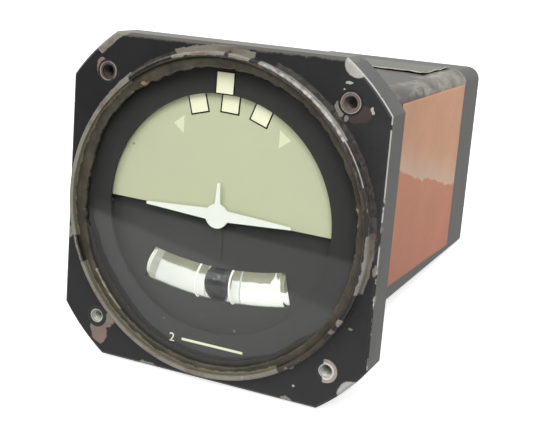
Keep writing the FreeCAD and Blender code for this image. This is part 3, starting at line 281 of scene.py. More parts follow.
def wornEdges(width, amount, breakup, grain):  # width in mm
    return useGroup("edgeWear", {"Width": width * milli, "Amount": amount, "Breakup": breakup,
                                "Grain": grain})["Mask"]


def specks(scale, share, size):
    return useGroup("specks", {"Scale": scale, "Share": share, "Size": size})["Mask"]


def mottled(scale, low, high, fine=0.3):
    return useGroup("mottle", {"Scale": scale, "Low": low, "High": high, "Fine": fine})


def fromInsert(x, z):  # how far a point is from the middle of the nearest insert, in mm
    return distance(abs(x) - insertOffset, abs(z) - insertOffset)


def newMaterial(name):
    global tree
    finishes[name] = bpy.data.materials.new(name)
    finishes[name].use_nodes = True
    tree = finishes[name].node_tree
    return tree.nodes["Principled BSDF"]


def bump(shader, height, strength, depth):  # depth in mm
    feed(shader, {"Normal": addNode("ShaderNodeBump", {
        "Height": height, "Strength": strength, "Distance": depth * milli})})


# Black enamel of the flange, worn at the places that the photograph shows

# Painted light among these colours: the lighter side faces, the lighter upper right and the
# highlights along the rim.
flangePaint = {
    # The side colour is painted light: the side faces get a lighter paint for the sheen they take
    # from the bright surroundings.
    "paint": seen(37, 37, 38), "sideSheenPaint": seen(74, 73, 70), "bareMetal": seen(146, 142, 131),
    "primer": seen(124, 105, 98), "brownRust": seen(70, 60, 48), "brownStain": seen(78, 64, 60),
    "brightChip": seen(168, 165, 160), "brightEdge": seen(186, 184, 176),
    "rubbed": seen(112, 103, 97), "topBare": (40.3, 40.6), "outerSide": (40.6, 40.8),
    "cutCorner": (69.0, 69.5), "edgeLine": (0.32, 0.40, 0.60, 0.68), "insertClear": (3.1, 3.4),
    # Painted light: the face is darker at the left and lighter towards the upper right.
    "across": (-35, 20, 0.6, 0.95), "litUpperRight": (28, 38, -20, 0, 1.55),
    "faceRoundSpots": [(32.3, 0, 40.0, 3.1, 3.1, 3.1), (38.4, 0, -36.2, 3.9, 3.9, 3.9)],
    "cornerArcs": [(48.7, 60, 127.5, 6.0)],
    "rimArcs": [(38.6, 40.9, 94, 15), (38.7, 40.3, -6, 10.5), (37.6, 39.75, -106, 48),
                (37.8, 40.6, 162, 34), (38.5, 39.15, -158.5, 7)],
    "rubbedArcs": [(39.3, 40.7, 33, 38), (39.0, 40.5, 118, 12), (38.2, 39.0, 50, 40)],
    # The rim streaks are painted highlights along the rim's outer edge.
    "rimHighlights": [(38.85, 40.1, 56, 20)], "thinRimHighlights": [(39.3, 39.7, 28.3, 8.3)],
    "rimChips": [(38.0, 39.9, 87.9, 0.9), (38.0, 39.9, 58, 0.8)],
    "rimDirt": [(36.0, 39.2, -47, 11), (36.0, 38.5, 60, 60)],
    "bareSpots": [(-27.6, 0, -31.4, 1.7, 2, 1.3), (28.5, 0, 30.4, 0.8, 1, 1.2),
                  (29.4, 0, 29.2, 0.8, 1, 1.1), (30.7, 0, 27.9, 0.55, 1, 0.9),
                  (34.5, -3, -18.3, 0.8, 2, 1.1), (32.75, -3, -20.7, 0.9, 2, 0.6),
                  (36.5, 0, -20.1, 0.6, 1, 0.3), (22.5, 0, -32.2, 1.2, 3, 0.9),
                  (25.5, 0, -29.2, 0.9, 3, 0.7), (-15.7, 0, -41.0, 2.6, 3, 0.9),
                  (22.1, 0, -41.0, 1.4, 3, 1.1), (39.0, -3, 8.8, 0.6, 2, 1.2),
                  (40.8, 0, -5.6, 0.6, 2, 1.2), (41.3, 0, 4.0, 0.35, 2, 0.7),
                  (41.2, 0, -12.1, 0.3, 2, 0.9), (41.4, 0, 10.5, 0.25, 2, 0.8),
                  (-40.8, 0, -10.8, 1.0, 3, 1.7)],
    "primerSpots": [(-30.6, 0, -35.0, 2.5, 2, 3.6), (-29.0, 0, -32.6, 2.2, 2, 1.6),
                    (-33.3, 0, 32.6, 1.5, 2, 2.4)],
    "brownSpots": [(34.3, 0, 29.3, 2.4, 2, 2.0), (32.4, 0, 28.3, 1.6, 2, 1.5),
                   (-31.6, 0, 31.4, 2.9, 2, 2.9)],
    "brightSpots": [(30.7, 0, 35.85, 0.85, 1, 0.38), (29.65, 0, 34.3, 0.2, 1, 0.2),
                    (36.5, 0, 30.6, 0.35, 1, 0.6), (36.8, 0, 29.9, 0.35, 1, 0.5),
                    (23.8, 0, -37.0, 0.4, 1, 0.3)],
}


def makeFlangePaint():
    shader = newMaterial("wornBlackEnamel")
    values = flangePaint
    here = coordinate()
    x, y, z = placeInMm(here)
    normalX, normalY, normalZ = split(coordinate("Normal"))
    mottle = mottled(70, 0.75, 1.35)
    start, end, left, right = values["across"]  # painted light: darker at the left, lighter towards the upper right
    across = mixValue(ramp(x, start, end), left, right)
    start, end, low, high, dustAndLight = values["litUpperRight"]
    litUpperRight = ramp(x, start, end) * ramp(z, low, high)
    paint = tint(values["paint"], mottle["Tone"] * (across * mixValue(litUpperRight, 1.0, dustAndLight)))

    topBare = ramp(z + (grainAt(here, 260.0, 5.0, 0.7) - 0.5) * 2.4, *values["topBare"])
    facing = abs(normalY)
    outer = most(ramp(most(abs(x), abs(z)), *values["outerSide"]),
                 ramp(abs(x) + abs(z), *values["cutCorner"]))
    # painted light: faces turned sideways take the lighter side colour
    side = outer * ramp(facing, 0.6, 0.3)
    first, full, fading, last = values["edgeLine"]  # bright line down the right edge
    line = ramp(y, first, full) * ramp(y, last, fading) * outer * ramp(normalX, 0.2, 0.4)
    line = line * ramp(grainAt(here, 170.0, 6.0, 0.7) + z * 0.003, 0.46, 0.52)
    edges = wornEdges(0.4, 0.7, 0.75, 520) * (1.0 - outer)
    edges = edges * ramp(fromInsert(x, z), *values["insertClear"])

    bare = most(arcs(values["cornerArcs"], 0.45, 420), arcs(values["rimArcs"], 0.4, 420, 2.0),
                spots(values["bareSpots"], 900, 0.8))
    bare = bare * (1.0 - arcs(values["rimChips"], 0.3, 900, 2.0))
    rubbed = arcs(values["rubbedArcs"], 0.25, 500, 2.0)
    rubbed = rubbed * ramp(grainAt(here, 520.0, 6.0, 0.85), 0.4, 0.66)
    rubbed = most(rubbed * 0.85, edges * 0.7)
    primer = spots(values["primerSpots"], 420, 0.5)
    brown = spots(values["brownSpots"], 300, 0.7)
    bright = most(spots(values["brightSpots"], 1300, 0.7), specks(420, 0.045, 0.16),
                  spots(values["faceRoundSpots"], 300, 0.12) * ramp(facing, 0.5, 0.7))
    # painted highlights along the rim's outer edge
    highlights = arcs(values["rimHighlights"], 0.12, 900, -0.6)
    highlights = highlights * ramp(grainAt(here, 420.0, 6.0, 0.75), 0.28, 0.6)
    highlights = most(highlights, arcs(values["thinRimHighlights"], 0.05, 700, -2.05) * 0.85)
    dirt = arcs(values["rimDirt"], 0.8, 300, 2.4) * (0.75 - bare * 0.6)

    metalTone = mottled(160, 0.78, 1.15, 0.4)["Tone"]
    pink = mixColour(ramp(grainAt(here, 210.0), 0.5, 0.7), tint(values["bareMetal"], metalTone),
                     values["primer"])
    # painted shade: side faces turned up, and those turned fully to the right, are darker
    sideShadeTone = mottle["Tone"] - ramp(normalZ, 0.5, 0.9) * 0.45 - ramp(normalX, 0.8, 0.95) * 0.3
    surface = coat(paint, (side, tint(values["sideSheenPaint"], sideShadeTone)),
                   (brown * 0.6, tint(values["brownStain"], metalTone)),
                   (primer, tint(values["primer"], metalTone)),
                   (topBare * 0.3, values["bareMetal"]),
                   (rubbed, tint(values["rubbed"], metalTone)), (bare, pink),
                   (bright, tint(values["brightChip"], metalTone)),
                   (most(highlights, line), values["brightEdge"]), (dirt, values["brownRust"]))
    worn = most(bare, primer)
    feed(shader, {"Base Color": surface, "Roughness": mixValue(worn, 0.38, 0.5),
                  "Metallic": bare * 0.45})
    bump(shader, mottle["Height"] * 0.25 - worn, 0.6, 0.12)


# Grey-black paint of the can, with scuffs along its upper right corner

canPaint = {
    "paint": seen(71, 69, 66), "scuff": seen(160, 158, 146), "bare": seen(120, 118, 108),
    "brown": seen(104, 96, 88), "scuffBand": (44.0, 118.0, 25.6, 22.5), "bandSoft": (-0.5, 1.5),
}


def makeCanPaint(name, lightness, scuffed):
    shader = newMaterial(name)
    mottle = mottled(45, 0.86, 1.12, 0.35)
    paint = tuple(level * lightness for level in canPaint["paint"][:3]) + (1,)
    marks = most(wornEdges(0.5, 0.8, 0.6, 600), specks(260, 0.035, 0.18))
    surface = coat(tint(paint, mottle["Tone"]), (marks * 0.7, canPaint["bare"]))
    if scuffed:
        here = coordinate()
        x, y, z = placeInMm(here)
        front, back, low, inward = canPaint["scuffBand"]
        depth = least(y - front, back - y, z - low, x - inward)
        band = ramp(depth + (grainAt(here, 90.0, 5.0) - 0.5) * 16.0, *canPaint["bandSoft"])
        longer = vectorCalc("MULTIPLY", here, (1, 0.2, 1))
        patches = ramp(grainAt(longer, 190.0, 7.0, 0.75), 0.4, 0.54)
        tone = mixColour(ramp(grainAt(here, 60.0, 3.0), 0.45, 0.6), canPaint["scuff"],
                         canPaint["brown"])
        surface = mixColour(band * (patches * 0.65 + 0.3), surface, tone)
    feed(shader, {"Base Color": surface, "Roughness": 0.42})
    bump(shader, mottle["Height"], 0.25, 0.08)


# The four corner inserts: brown inside at the top, bright steel at the bottom. Radii are in mm.

insertFinish = {
    "steel": seen(208, 207, 200), "brown": seen(70, 60, 56), "paint": seen(38, 38, 38),
    "topRing": seen(140, 128, 122), "primer": seen(160, 146, 140), "thinRing": seen(164, 158, 150),
    "dustAndLight": seen(112, 98, 92), "primerFrom": (30.6, 31.0),
    "lipInner": ((2.05, 2.22), (2.12, 2.29)), "lipOuter": (2.38, 2.46), "paintFrom": (2.36, 2.44),
    "leftSteel": (1.72, 1.80), "rightSteel": (2.05, 2.15), "shiny": (1.75, 2.05),
}


def makeInsertWear():
    shader = newMaterial("insertWear")
    values = insertFinish
    here = coordinate()
    x, y, z = placeInMm(here)
    far = fromInsert(x, z) + (grainAt(here, 500.0) - 0.5) * 0.3
    rightSide, topSide = ramp(x, -1, 1), ramp(z, -1, 1)
    lip = ramp(far, *[mixValue(rightSide, left, right) for left, right in values["lipInner"]])
    lip = lip * (1.0 - ramp(far, *values["lipOuter"]))
    lip = lip * ramp(grainAt(here, 420.0, 3.0), 0.38, 0.52)
    upper = coat(mixColour(rightSide, values["brown"], values["dustAndLight"]),
                 (ramp(far, *values["paintFrom"]), values["paint"]),
                 (lip, mixColour(rightSide, values["topRing"], values["thinRing"])))
    left = mixColour(ramp(far, *values["leftSteel"]), values["steel"], values["paint"])
    right = mixColour(ramp(far, *values["rightSteel"]), values["steel"], values["primer"])
    right = mixColour(ramp(x, *values["primerFrom"]), left, right)
    lower = mixColour(rightSide, left, right)
    surface = tint(mixColour(topSide, lower, upper), mottled(260, 0.75, 1.15)["Tone"])
    steel = (1.0 - ramp(far, *values["shiny"])) * (0.4 - topSide * 0.4)
    feed(shader, {"Base Color": surface, "Metallic": steel, "Roughness": 0.38})


# Metals: colour, roughness, stretch of the tool marks, dullness

metalFinishes = {
    "machinedSteel": ((190, 188, 183), 0.34, (1, 30, 1), 0.15),
    "machinedAluminium": ((214, 214, 211), 0.42, (30, 1, 1), 0.2),
    "turnedBrass": ((206, 174, 108), 0.3, (1, 30, 1), 0.25),
    "copperWire": ((196, 122, 82), 0.35, (1, 1, 1), 0.35),
    "springBronze": ((196, 152, 92), 0.28, (1, 1, 30), 0.2),
    "magnetAlloy": ((122, 122, 126), 0.55, (1, 1, 1), 0.35),
}


def makeMetal(name, colour, rough, stretch, dull):
    shader = newMaterial(name)
    marks = useGroup("toolMarks", {"Stretch": stretch, "Scale": 260})
    surface = tint(seen(*colour), marks["Tone"] * mottled(120, 1 - dull, 1.05)["Tone"])
    feed(shader, {"Base Color": surface, "Metallic": 1.0,
                  "Roughness": mixValue(marks["Height"], rough * 0.8, rough * 1.3)})
    bump(shader, marks["Height"], 0.3, 0.05)


# Plastics and paints: colour, roughness, tone from and to, share and colour of specks, scale, glow

plainFinishes = {
    "mattBlack": ((38, 38, 37), 0.75, 0.85, 1.2, 0.05, (96, 96, 92), 90),
    "dialBlack": ((44, 43, 40), 0.7, 0.85, 1.15, 0.05, (120, 120, 112), 60),
    "paleGreen": ((197, 199, 169), 0.8, 0.96, 1.03, 0.03, (120, 124, 100), 30),
    "creamPaint": ((248, 246, 216), 0.75, 0.97, 1.02, 0.0, (180, 176, 150), 60),
    "offWhite": ((244, 246, 238), 0.6, 0.95, 1.02, 0.02, (170, 170, 160), 60),
    "faintCream": ((226, 229, 196), 0.75, 0.97, 1.02, 0.0, (180, 176, 150), 60),
    "polishedBlack": ((16, 17, 19), 0.06, 0.9, 1.1, 0.0, (40, 40, 44), 60),
    "blackRubber": ((30, 30, 31), 0.85, 0.8, 1.2, 0.04, (70, 70, 68), 150),
    "brownBoard": ((128, 84, 52), 0.55, 0.8, 1.15, 0.05, (90, 56, 34), 200),
    "carbonBlock": ((44, 44, 46), 0.5, 0.8, 1.25, 0.1, (84, 84, 88), 300),
    "greenPlastic": ((58, 70, 62), 0.4, 0.9, 1.1, 0.02, (90, 100, 92), 100),
    # The rolled lip of the foil is painted pale as a highlight.
    "foilLipHighlight": ((208, 202, 180), 0.45, 0.8, 1.1, 0.0, (150, 146, 130), 120),
    # The wires' glow is painted light.
    "wireWhite": ((232, 236, 226), 0.5, 0.95, 1.02, 0.0, (170, 170, 160), 60, 0.45),
    "agedSealant": ((44, 42, 38), 0.7, 0.8, 1.2, 0.12, (96, 70, 56), 160),
}


def makePlain(name, colour, rough, low, high, share, speckColour, scale, glow=0.0):
    shader = newMaterial(name)
    mottle = mottled(scale, low, high)
    surface = coat(tint(seen(*colour), mottle["Tone"]),
                   (specks(330, share, 0.16) * 0.8, seen(*speckColour)))
    feed(shader, {"Base Color": surface, "Emission Color": surface, "Emission Strength": glow,
                  "Roughness": rough})
    bump(shader, mottle["Height"], 0.2, 0.04)


# Glass lets light in: shadow and diffuse rays pass straight through it

glassFinishes = {"flatGlass": 1.5, "bentTubeGlass": 1.45}  # how strongly each one bends light


def makeGlass(name, bending):
    shader = newMaterial(name)
    feed(shader, {"Base Color": seen(250, 252, 250), "Transmission Weight": 1.0, "IOR": bending,
                  "Roughness": 0.0})
    clear = addNode("ShaderNodeBsdfTransparent", {"Color": (0.96, 0.97, 0.96, 1)})
    path = outputsOf(addNode("ShaderNodeLightPath"))
    through = most(path["Is Shadow Ray"], path["Is Diffuse Ray"])
    blend = addNode("ShaderNodeMixShader", {0: through, 1: shader, 2: clear})
    feed(tree.nodes["Material Output"], {"Surface": blend})


# White card behind the tube, with a painted shadow along its ragged top and at its right end.
# The light that the liquid gathers on it is a faint glow of its own.

tubeCurve = {"radius": 80.0, "centre": 62.4, "depth": 6.97}
cardFinish = {"white": seen(252, 252, 248), "dull": seen(150, 148, 128),
              "shadowFrom": (-1.42, -1.30), "tilt": 0.029, "uneven": 0.35,
              "spike": (14.0, 1.3, 0.66), "shadowEnd": (14.6, 16.2, 0.35), "gathered": (0.64, 0.78)}


def makeCard():
    shader = newMaterial("whiteCard")
    values = cardFinish
    here = coordinate()
    x, y, z = placeInMm(here)
    height = tubeCurve["radius"] - distance(tubeCurve["centre"] - z, x) - x * values["tilt"]
    place, half, rise = values["spike"]
    start, end, drop = values["shadowEnd"]
    height = height - ramp(abs(x - place), half, 0.0) * rise + ramp(x, start, end) * drop
    height = height + (grainAt(here, 420.0, 3.0) - 0.5) * values["uneven"]
    # the dull colour is a painted shadow, cast by the window's upper edge
    surface = coat(values["white"], (ramp(height, *values["shadowFrom"]), tint(
        values["dull"], mottled(150, 0.8, 1.25)["Tone"])))
    feed(shader, {"Base Color": surface, "Emission Color": surface, "Roughness": 0.7,
                  "Emission Strength": mixValue(ramp(x, -6, 6), *values["gathered"])})


# Seals of the tube's ends, which the liquid lights with a painted glow: painted shade at the right,
# above the white of the card

capFinish = {"pale": seen(206, 206, 194), "dull": seen(140, 138, 120),
             "white": seen(250, 250, 246), "whiteBelow": (-15.6, -16.0), "glow": 0.4,
             "whiteGlow": 0.7}


def makeCapSeal():
    shader = newMaterial("tubeSeal")
    values = capFinish
    x, y, z = placeInMm(coordinate())
    left = ramp(x, 1, -1)
    low = ramp(z, *values["whiteBelow"])
    # painted shade: the right seal is dull above and white below
    right = mixColour(low, values["dull"], values["white"])
    surface = tint(mixColour(left, right, values["pale"]), mottled(200, 0.88, 1.05)["Tone"])
    lit = mixValue(left, mixValue(low, values["glow"], values["whiteGlow"]), values["glow"])
    feed(shader, {"Base Color": surface, "Emission Color": surface, "Emission Strength": lit,
                  "Roughness": 0.5})


# Rusty steel of the ragged ring

ringFinish = {"dark": seen(56, 54, 44), "rust": seen(80, 73, 60), "light": seen(172, 165, 144),
              "ochre": seen(160, 136, 102), "olive": seen(132, 127, 106),
              "oliveArcs": [(37.7, 39.0, 162, 34), (37.5, 39.0, -106, 48)],
              "glints": [(35.9, 36.35, -140, 9.5)],
              "ochreSpots": [(35.9, 0, 7.7, 0.5, 3, 1.2), (36.2, 0, 5.1, 0.4, 3, 1.0),
                             (-19.7, 0, 29.9, 1.5, 3, 0.5), (-22.9, 0, 27.3, 0.7, 3, 0.4)]}


def makeRingSteel():
    shader = newMaterial("rustySpringSteel")
    values = ringFinish
    patches = grainAt(coordinate(), 180.0, 6.0, 0.7)
    # The light colour is a painted highlight, on the ring's edges and in the glint arc.
    surface = coat(values["dark"], (ramp(patches, 0.4, 0.6), values["rust"]),
                   (wornEdges(0.5, 3.0, 0.7, 260) * 0.75, values["light"]),
                   (arcs(values["oliveArcs"], 0.4, 420) * 0.85, values["olive"]),
                   (spots(values["ochreSpots"], 900, 0.9) * 0.8, values["ochre"]),
                   (arcs(values["glints"], 0.1, 500) * 0.65, values["light"]))
    feed(shader, {"Base Color": surface, "Roughness": 0.55, "Metallic": 0.3})
    bump(shader, patches, 0.6, 0.2)


# Label paper and the foil plate on the can. The label is lighter above a ragged sloping line.

labelFinish = {"pale": seen(208, 156, 123), "upperTone": seen(211, 180, 156), "paleAt": 15.1,
               "lighter": (62.0, 105.0, 1.17), "deep": seen(200, 134, 103),
               "dirt": seen(168, 118, 98), "line": 6.1, "lineDepth": 58.6, "slope": -0.22,
               "edge": seen(176, 96, 76), "edgeFrom": (116.5, 117.0), "deeper": seen(192, 122, 96),
               "deepestAt": -25.0}
foilColour = seen(126, 128, 118)


def makeLabel():
    shader = newMaterial("orangeLabel")
    values = labelFinish
    here = coordinate()
    x, y, z = placeInMm(here)
    slope = (y - values["lineDepth"]) * values["slope"]
    height = z - slope + (grainAt(here, 70.0, 4.0, 0.65) - 0.5) * 9.0
    line = values["line"]
    pale = mixColour(ramp(height, values["paleAt"], line), values["pale"], values["upperTone"])
    deep = mixColour(ramp(z, 0.0, values["deepestAt"]), values["deep"], values["deeper"])
    surface = mixColour(ramp(height, line - 0.3, line + 0.3), deep, pale)
    fade = mottled(40, 0.9, 1.08)
    start, end, lift = values["lighter"]
    surface = tint(surface, fade["Tone"] * mixValue(ramp(y, start, end), 1.0, lift))
    scuffs = ramp(grainAt(here, 300.0, 7.0, 0.8), 0.58, 0.72)
    surface = coat(surface, (scuffs * 0.35, values["dirt"]),
                   (ramp(y, *values["edgeFrom"]) * 0.7, values["edge"]))
    feed(shader, {"Base Color": surface, "Roughness": 0.55})
    bump(shader, fade["Height"], 0.2, 0.06)


def makeFoil():
    shader = newMaterial("scuffedFoil")
    marks = useGroup("toolMarks", {"Stretch": (1, 8, 1), "Scale": 160})
    stain = mottled(60, 0.8, 1.1)
    feed(shader, {"Base Color": tint(foilColour, marks["Tone"] * stain["Tone"]),
                  "Metallic": 0.35, "Roughness": 0.5})
    bump(shader, stain["Height"], 0.4, 0.1)


makeFlangePaint()
makeCanPaint("canPaint", 1.0, True)
makeCanPaint("coverPaint", 1.05, False)
for makeFinish in (makeCard, makeRingSteel, makeLabel, makeFoil, makeInsertWear, makeCapSeal):
    makeFinish()
for name, values in metalFinishes.items():
    makeMetal(name, *values)
for name, values in plainFinishes.items():
    makePlain(name, *values)
for name, bending in glassFinishes.items():
    makeGlass(name, bending)

slotFinish = {
    "black_paint": "wornBlackEnamel", "steel": "machinedSteel", "dark_ring": "rustySpringSteel",
    "glass": "flatGlass", "rubber": "blackRubber", "dial_black": "dialBlack",
    "pale_green": "paleGreen", "off_white": "offWhite", "tube_glass": "bentTubeGlass",
    "ball_black": "polishedBlack", "white_card": "whiteCard", "can_grey": "canPaint",
    "aluminium": "machinedAluminium", "brass": "turnedBrass", "copper": "copperWire",
    "carbon": "carbonBlock", "magnet": "magnetAlloy", "insulator": "brownBoard",
    "insert_plastic": "greenPlastic", "spring_bronze": "springBronze",
}
nodeFinish = {"rear_cover": "coverPaint", "dial_mask": "mattBlack",
              "threaded_inserts": "insertWear", "symbol_bracket": "dialBlack",
              "inclinometer_caps": "tubeSeal"}

for subpart in frame["record"]["subparts"]:
    label = subpart["node"]
    finish = nodeFinish.get(label, slotFinish[subpart["material_slot"]])
    for slot in nodes[label].material_slots:
        slot.material = finishes[finish]
print("finishes on", len(nodes), "nodes")


# Short ways to make meshes. Places are in mm, in the same frame as the CAD.

def meshFrom(name, bm):
    mesh = bpy.data.meshes.new(name)
    bmesh.ops.recalc_face_normals(bm, faces=bm.faces)
    bm.to_mesh(mesh)
    bm.free()
    return mesh


def addPiece(name, shape, finish, body, smooth=True):
    if isinstance(shape, bmesh.types.BMesh):
        shape = meshFrom(name, shape)
        shape.polygons.foreach_set("use_smooth", [smooth] * len(shape.polygons))
    piece = addObject(name, shape)
    shape.materials.append(finishes[finish])
    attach(piece, body)
    return piece


def softEdges(piece, width, segments=2):
    modifier = piece.modifiers.new("softEdges", "BEVEL")
    modifier.width = width * milli
    modifier.segments = segments
    modifier.limit_method = "ANGLE"
    modifier.harden_normals = True


def sweepRings(bm, rings, closeAlong=False, closeAround=True):  # skins rows of points
    rows = [[bm.verts.new(point) for point in ring] for ring in rings]
    count = len(rows[0])
    for row in range(len(rows) if closeAlong else len(rows) - 1):
        lower, upper = rows[row], rows[(row + 1) % len(rows)]
        for number in range(count if closeAround else count - 1):
            after = (number + 1) % count
            bm.faces.new([lower[number], lower[after], upper[after], upper[number]])
    return rows


def sweepSolid(bm, rings):  # the same, with both ends closed
    rows = sweepRings(bm, rings)
    bm.faces.new(rows[0])
    bm.faces.new(list(reversed(rows[-1])))


def turnsOf(count):
    return [2 * math.pi * number / count for number in range(count)]


def circle(centre, right, up, radius, count):
    return [(centre + (right * math.cos(turn) + up * math.sin(turn)) * radius) * milli
            for turn in turnsOf(count)]


def outward(angle):  # the way out from the dial's axis
    return Vector((math.cos(angle), 0, math.sin(angle)))


def spun(profile, angle, centre=(0, 0, 0)):  # (radius, depth) pairs at an angle round the dial
    return [mm(centre[0] + radius * math.cos(angle), centre[1] + depth,
               centre[2] + radius * math.sin(angle)) for radius, depth in profile]


def addPlates(name, outlines, front, back, finish, body, slotName, soft):
    bm = bmesh.new()  # flat plates across the dial, from (x, z) outlines
    for outline in outlines:
        sweepSolid(bm, [[mm(x, depth, z) for x, z in outline] for depth in (front, back)])
    softEdges(addPiece(name, bm, finish, body, False), soft)


def thinSheet(bm, rows, columns, stands, place):  # a sheet with two faces and closed borders
    borders = []
    for stand in stands:
        grid = sweepRings(bm, [[place(row, column, stand) for column in range(columns + 1)]
                               for row in range(rows + 1)], closeAround=False)
        borders.append(grid[0] + [line[-1] for line in grid[1:]] + grid[-1][-2::-1]
                       + [line[0] for line in grid[-2:0:-1]])
    outer, inner = borders
    for number in range(len(outer)):
        bm.faces.new([outer[number - 1], outer[number], inner[number], inner[number - 1]])


def threadRings(root, crest, pitch, start, end, centre=(0, 0, 0), steps=40):
    count = int((end - start) / pitch * steps)
    under = root - math.copysign(0.08, crest - root)
    rings = []
    for step in range(count + 1):
        along = start + pitch * step / steps
        peak = root + (crest - root) * min(1, step / steps, (count - step) / steps)
        profile = [(under, along - 0.42 * pitch), (peak, along - 0.08 * pitch),
                   (peak, along + 0.08 * pitch), (under, along + 0.42 * pitch)]
        rings.append(spun(profile, 2 * math.pi * step / steps, centre))
    return rings


def between(places, degrees):  # eases from one (degrees, value) to the next
    for (low, first), (high, second) in zip(places, places[1:]):
        if low <= degrees <= high:
            share = (degrees - low) / (high - low)
            return first + (second - first) * share * share * (3 - 2 * share)
    return places[-1][1]


# Ragged retaining ring: rust and old sealant make its inner edge uneven and fill its gap.
# Its radius and the sealant's follow the photograph: (degrees round the dial, mm).

raggedRing = {"outer": 38.72, "front": -1.92, "back": -0.92, "steps": 900,
              "raggedness": [(0, 0.6), (182, 0.6), (200, 0.22), (330, 0.22), (360, 0.6)],
              "inner": [(0, 36.3), (12, 36.7), (48, 36.5), (90, 35.8), (115, 35.3), (132, 35.8),
                        (150, 35.5), (168, 34.8), (186, 35.2), (215, 36.15), (300, 36.4),
                        (360, 36.3)]}
sealant = {"inner": [(184, 36.6), (198, 34.3), (222, 33.9), (246, 34.8), (288, 35.0), (300, 35.4),
                     (309, 34.9), (332, 36.9)], "outer": 37.2, "front": -1.2, "back": -0.9,
           "steps": 300}


def makeRaggedRing(outer, front, back, steps, raggedness, inner):
    rings = []
    for step in range(steps):
        degrees = 360 * step / steps
        angle = math.radians(degrees)
        out = outward(angle)
        rough = (noise.noise(out * 14) * 0.55 + noise.noise(out * 38) * 0.5
                 + noise.noise(out * 90) * 0.28) * between(raggedness, degrees)
        edge = between(inner, degrees) + max(-0.5, min(0.5, rough))
        lift = 0.18 * noise.noise(out * 30 + Vector((5, 0, 0)))
        rings.append(spun([(edge, back - 0.02), (edge - 0.05, (front + back) / 2),
                           (edge + 0.12, front + 0.12), (edge + 0.35, front + lift),
                           ((edge + outer) / 2, front + 0.05 + lift * 0.5),
                           (outer - 0.15, front + 0.04), (outer, front + 0.2), (outer, back)],
                          angle))
    bm = bmesh.new()
    sweepRings(bm, rings, closeAlong=True)
    ring = addPiece("raggedRing", bm, "rustySpringSteel", "case")
    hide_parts("snap_ring")


def makeSealant(inner, outer, front, back, steps):
    rings = []
    first, last = inner[0][0], inner[-1][0]
    for step in range(steps + 1):
        degrees = first + (last - first) * step / steps
        angle = math.radians(degrees)
        edge = between(inner, degrees) + 0.25 * noise.noise(outward(angle) * 20)
        rings.append(spun([(edge, back), (edge + 0.1, back - 0.1), (edge + 0.6, front),
                           (outer, front), (outer, back)], angle))
    bm = bmesh.new()
    sweepSolid(bm, rings)
    addPiece("glassSealant", bm, "agedSealant", "case")


makeRaggedRing(**raggedRing)
makeSealant(**sealant)


# Index block on the mask, and the three bank marks with their outlines on the half disc

dialMarks = {
    "indexBox": (-2.08, 2.31, 29.6, 34.55), "indexBorder": 0.3, "indexFront": 1.42,
    "maskFront": 1.6, "markAngles": (-15.3, 2.5, 20.1), "markWidth": 4.3, "markInner": 25.15,
    "markOuter": 31.2, "line": 0.36, "discFront": 3.0,
    "triangles": [[(-13.6, 20.8), (-10.8, 18.6), (-10.8, 23.0)],
                  [(17.2, 20.6), (14.2, 18.4), (14.2, 22.8)]],
}


def boxOutline(left, right, low, high):
    return [(left, low), (right, low), (right, high), (left, high)]


def markOutline(angle, half, inner, outer):
    turn = math.radians(90 - angle)
    out = Vector((math.cos(turn), math.sin(turn)))
    side = Vector((-out.y, out.x)) * half
    return [out * inner + side, out * inner - side, out * outer - side, out * outer + side]


def makeDialMarks(indexBox, indexBorder, indexFront, maskFront, markAngles, markWidth, markInner,
                  markOuter, line, discFront, triangles):
    left, right, low, high = indexBox
    border = boxOutline(left - indexBorder, right + indexBorder, low - indexBorder,
                        high + indexBorder)
    addPlates("indexBorder", [border], maskFront - 0.06, maskFront - 0.001, "polishedBlack",
              "case", "dial_black", 0.02)
    addPlates("indexBlock", [boxOutline(*indexBox)], indexFront, maskFront - 0.06, "creamPaint",
              "case", "off_white", 0.05)
    half = markWidth / 2
    lines = [markOutline(angle, half + line, markInner - line, markOuter) for angle in markAngles]
    marks = [markOutline(angle, half, markInner, markOuter) for angle in markAngles]
    addPlates("bankMarkLines", lines, discFront - 0.05, discFront - 0.001, "polishedBlack",
              "roll_disc", "dial_black", 0.01)
    addPlates("bankMarks", marks, discFront - 0.1, discFront - 0.05, "creamPaint", "roll_disc",
              "off_white", 0.02)
    addPlates("directionMarks", triangles, discFront - 0.06, discFront - 0.001, "faintCream",
              "roll_disc", "off_white", 0.02)


makeDialMarks(**dialMarks)


# Numeral and plain bar on the mask, under the window

lowerLegend = {"text": "2", "size": 3.1, "raised": 0.03, "place": (-10.5, 1.56, -33.55),
               "bar": (-7.0, 9.7, -32.75, -32.1), "barDepth": (1.54, 1.599)}


def makeLowerLegend(text, size, raised, place, bar, barDepth):
    figure = bpy.data.curves.new("turnNumeral", "FONT")
    figure.body = text
    figure.size = size * milli
    figure.extrude = figure.offset = raised * milli
    figure.materials.append(finishes["creamPaint"])
    numeral = addObject("turnNumeral", figure)
    numeral.location = mm(*place)
    numeral.rotation_euler = (math.radians(90), 0, 0)
    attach(numeral, "case")
    addPlates("turnBar", [boxOutline(*bar)], *barDepth, "creamPaint", "case", "off_white", 0.02)


makeLowerLegend(**lowerLegend)


# The inclinometer's tube, filled with its clear liquid so that it magnifies the ball and card,
# and the two wires round it, either side of the ball at rest

liquidTube = {"radius": 4.65, "halfAngle": 13.4, "endLength": 1.1, "endWidth": 0.55,
              "endSteps": 8, "steps": 60, "around": 64}
tubeWires = {"places": (-4.6, 4.6), "wire": 0.26, "steps": 72}


def onTube(angle):  # the way out from the curve's centre, and the tube's middle there
    out = Vector((math.sin(angle), 0, -math.cos(angle)))
    return out, Vector((0, tubeCurve["depth"], tubeCurve["centre"])) + out * tubeCurve["radius"]


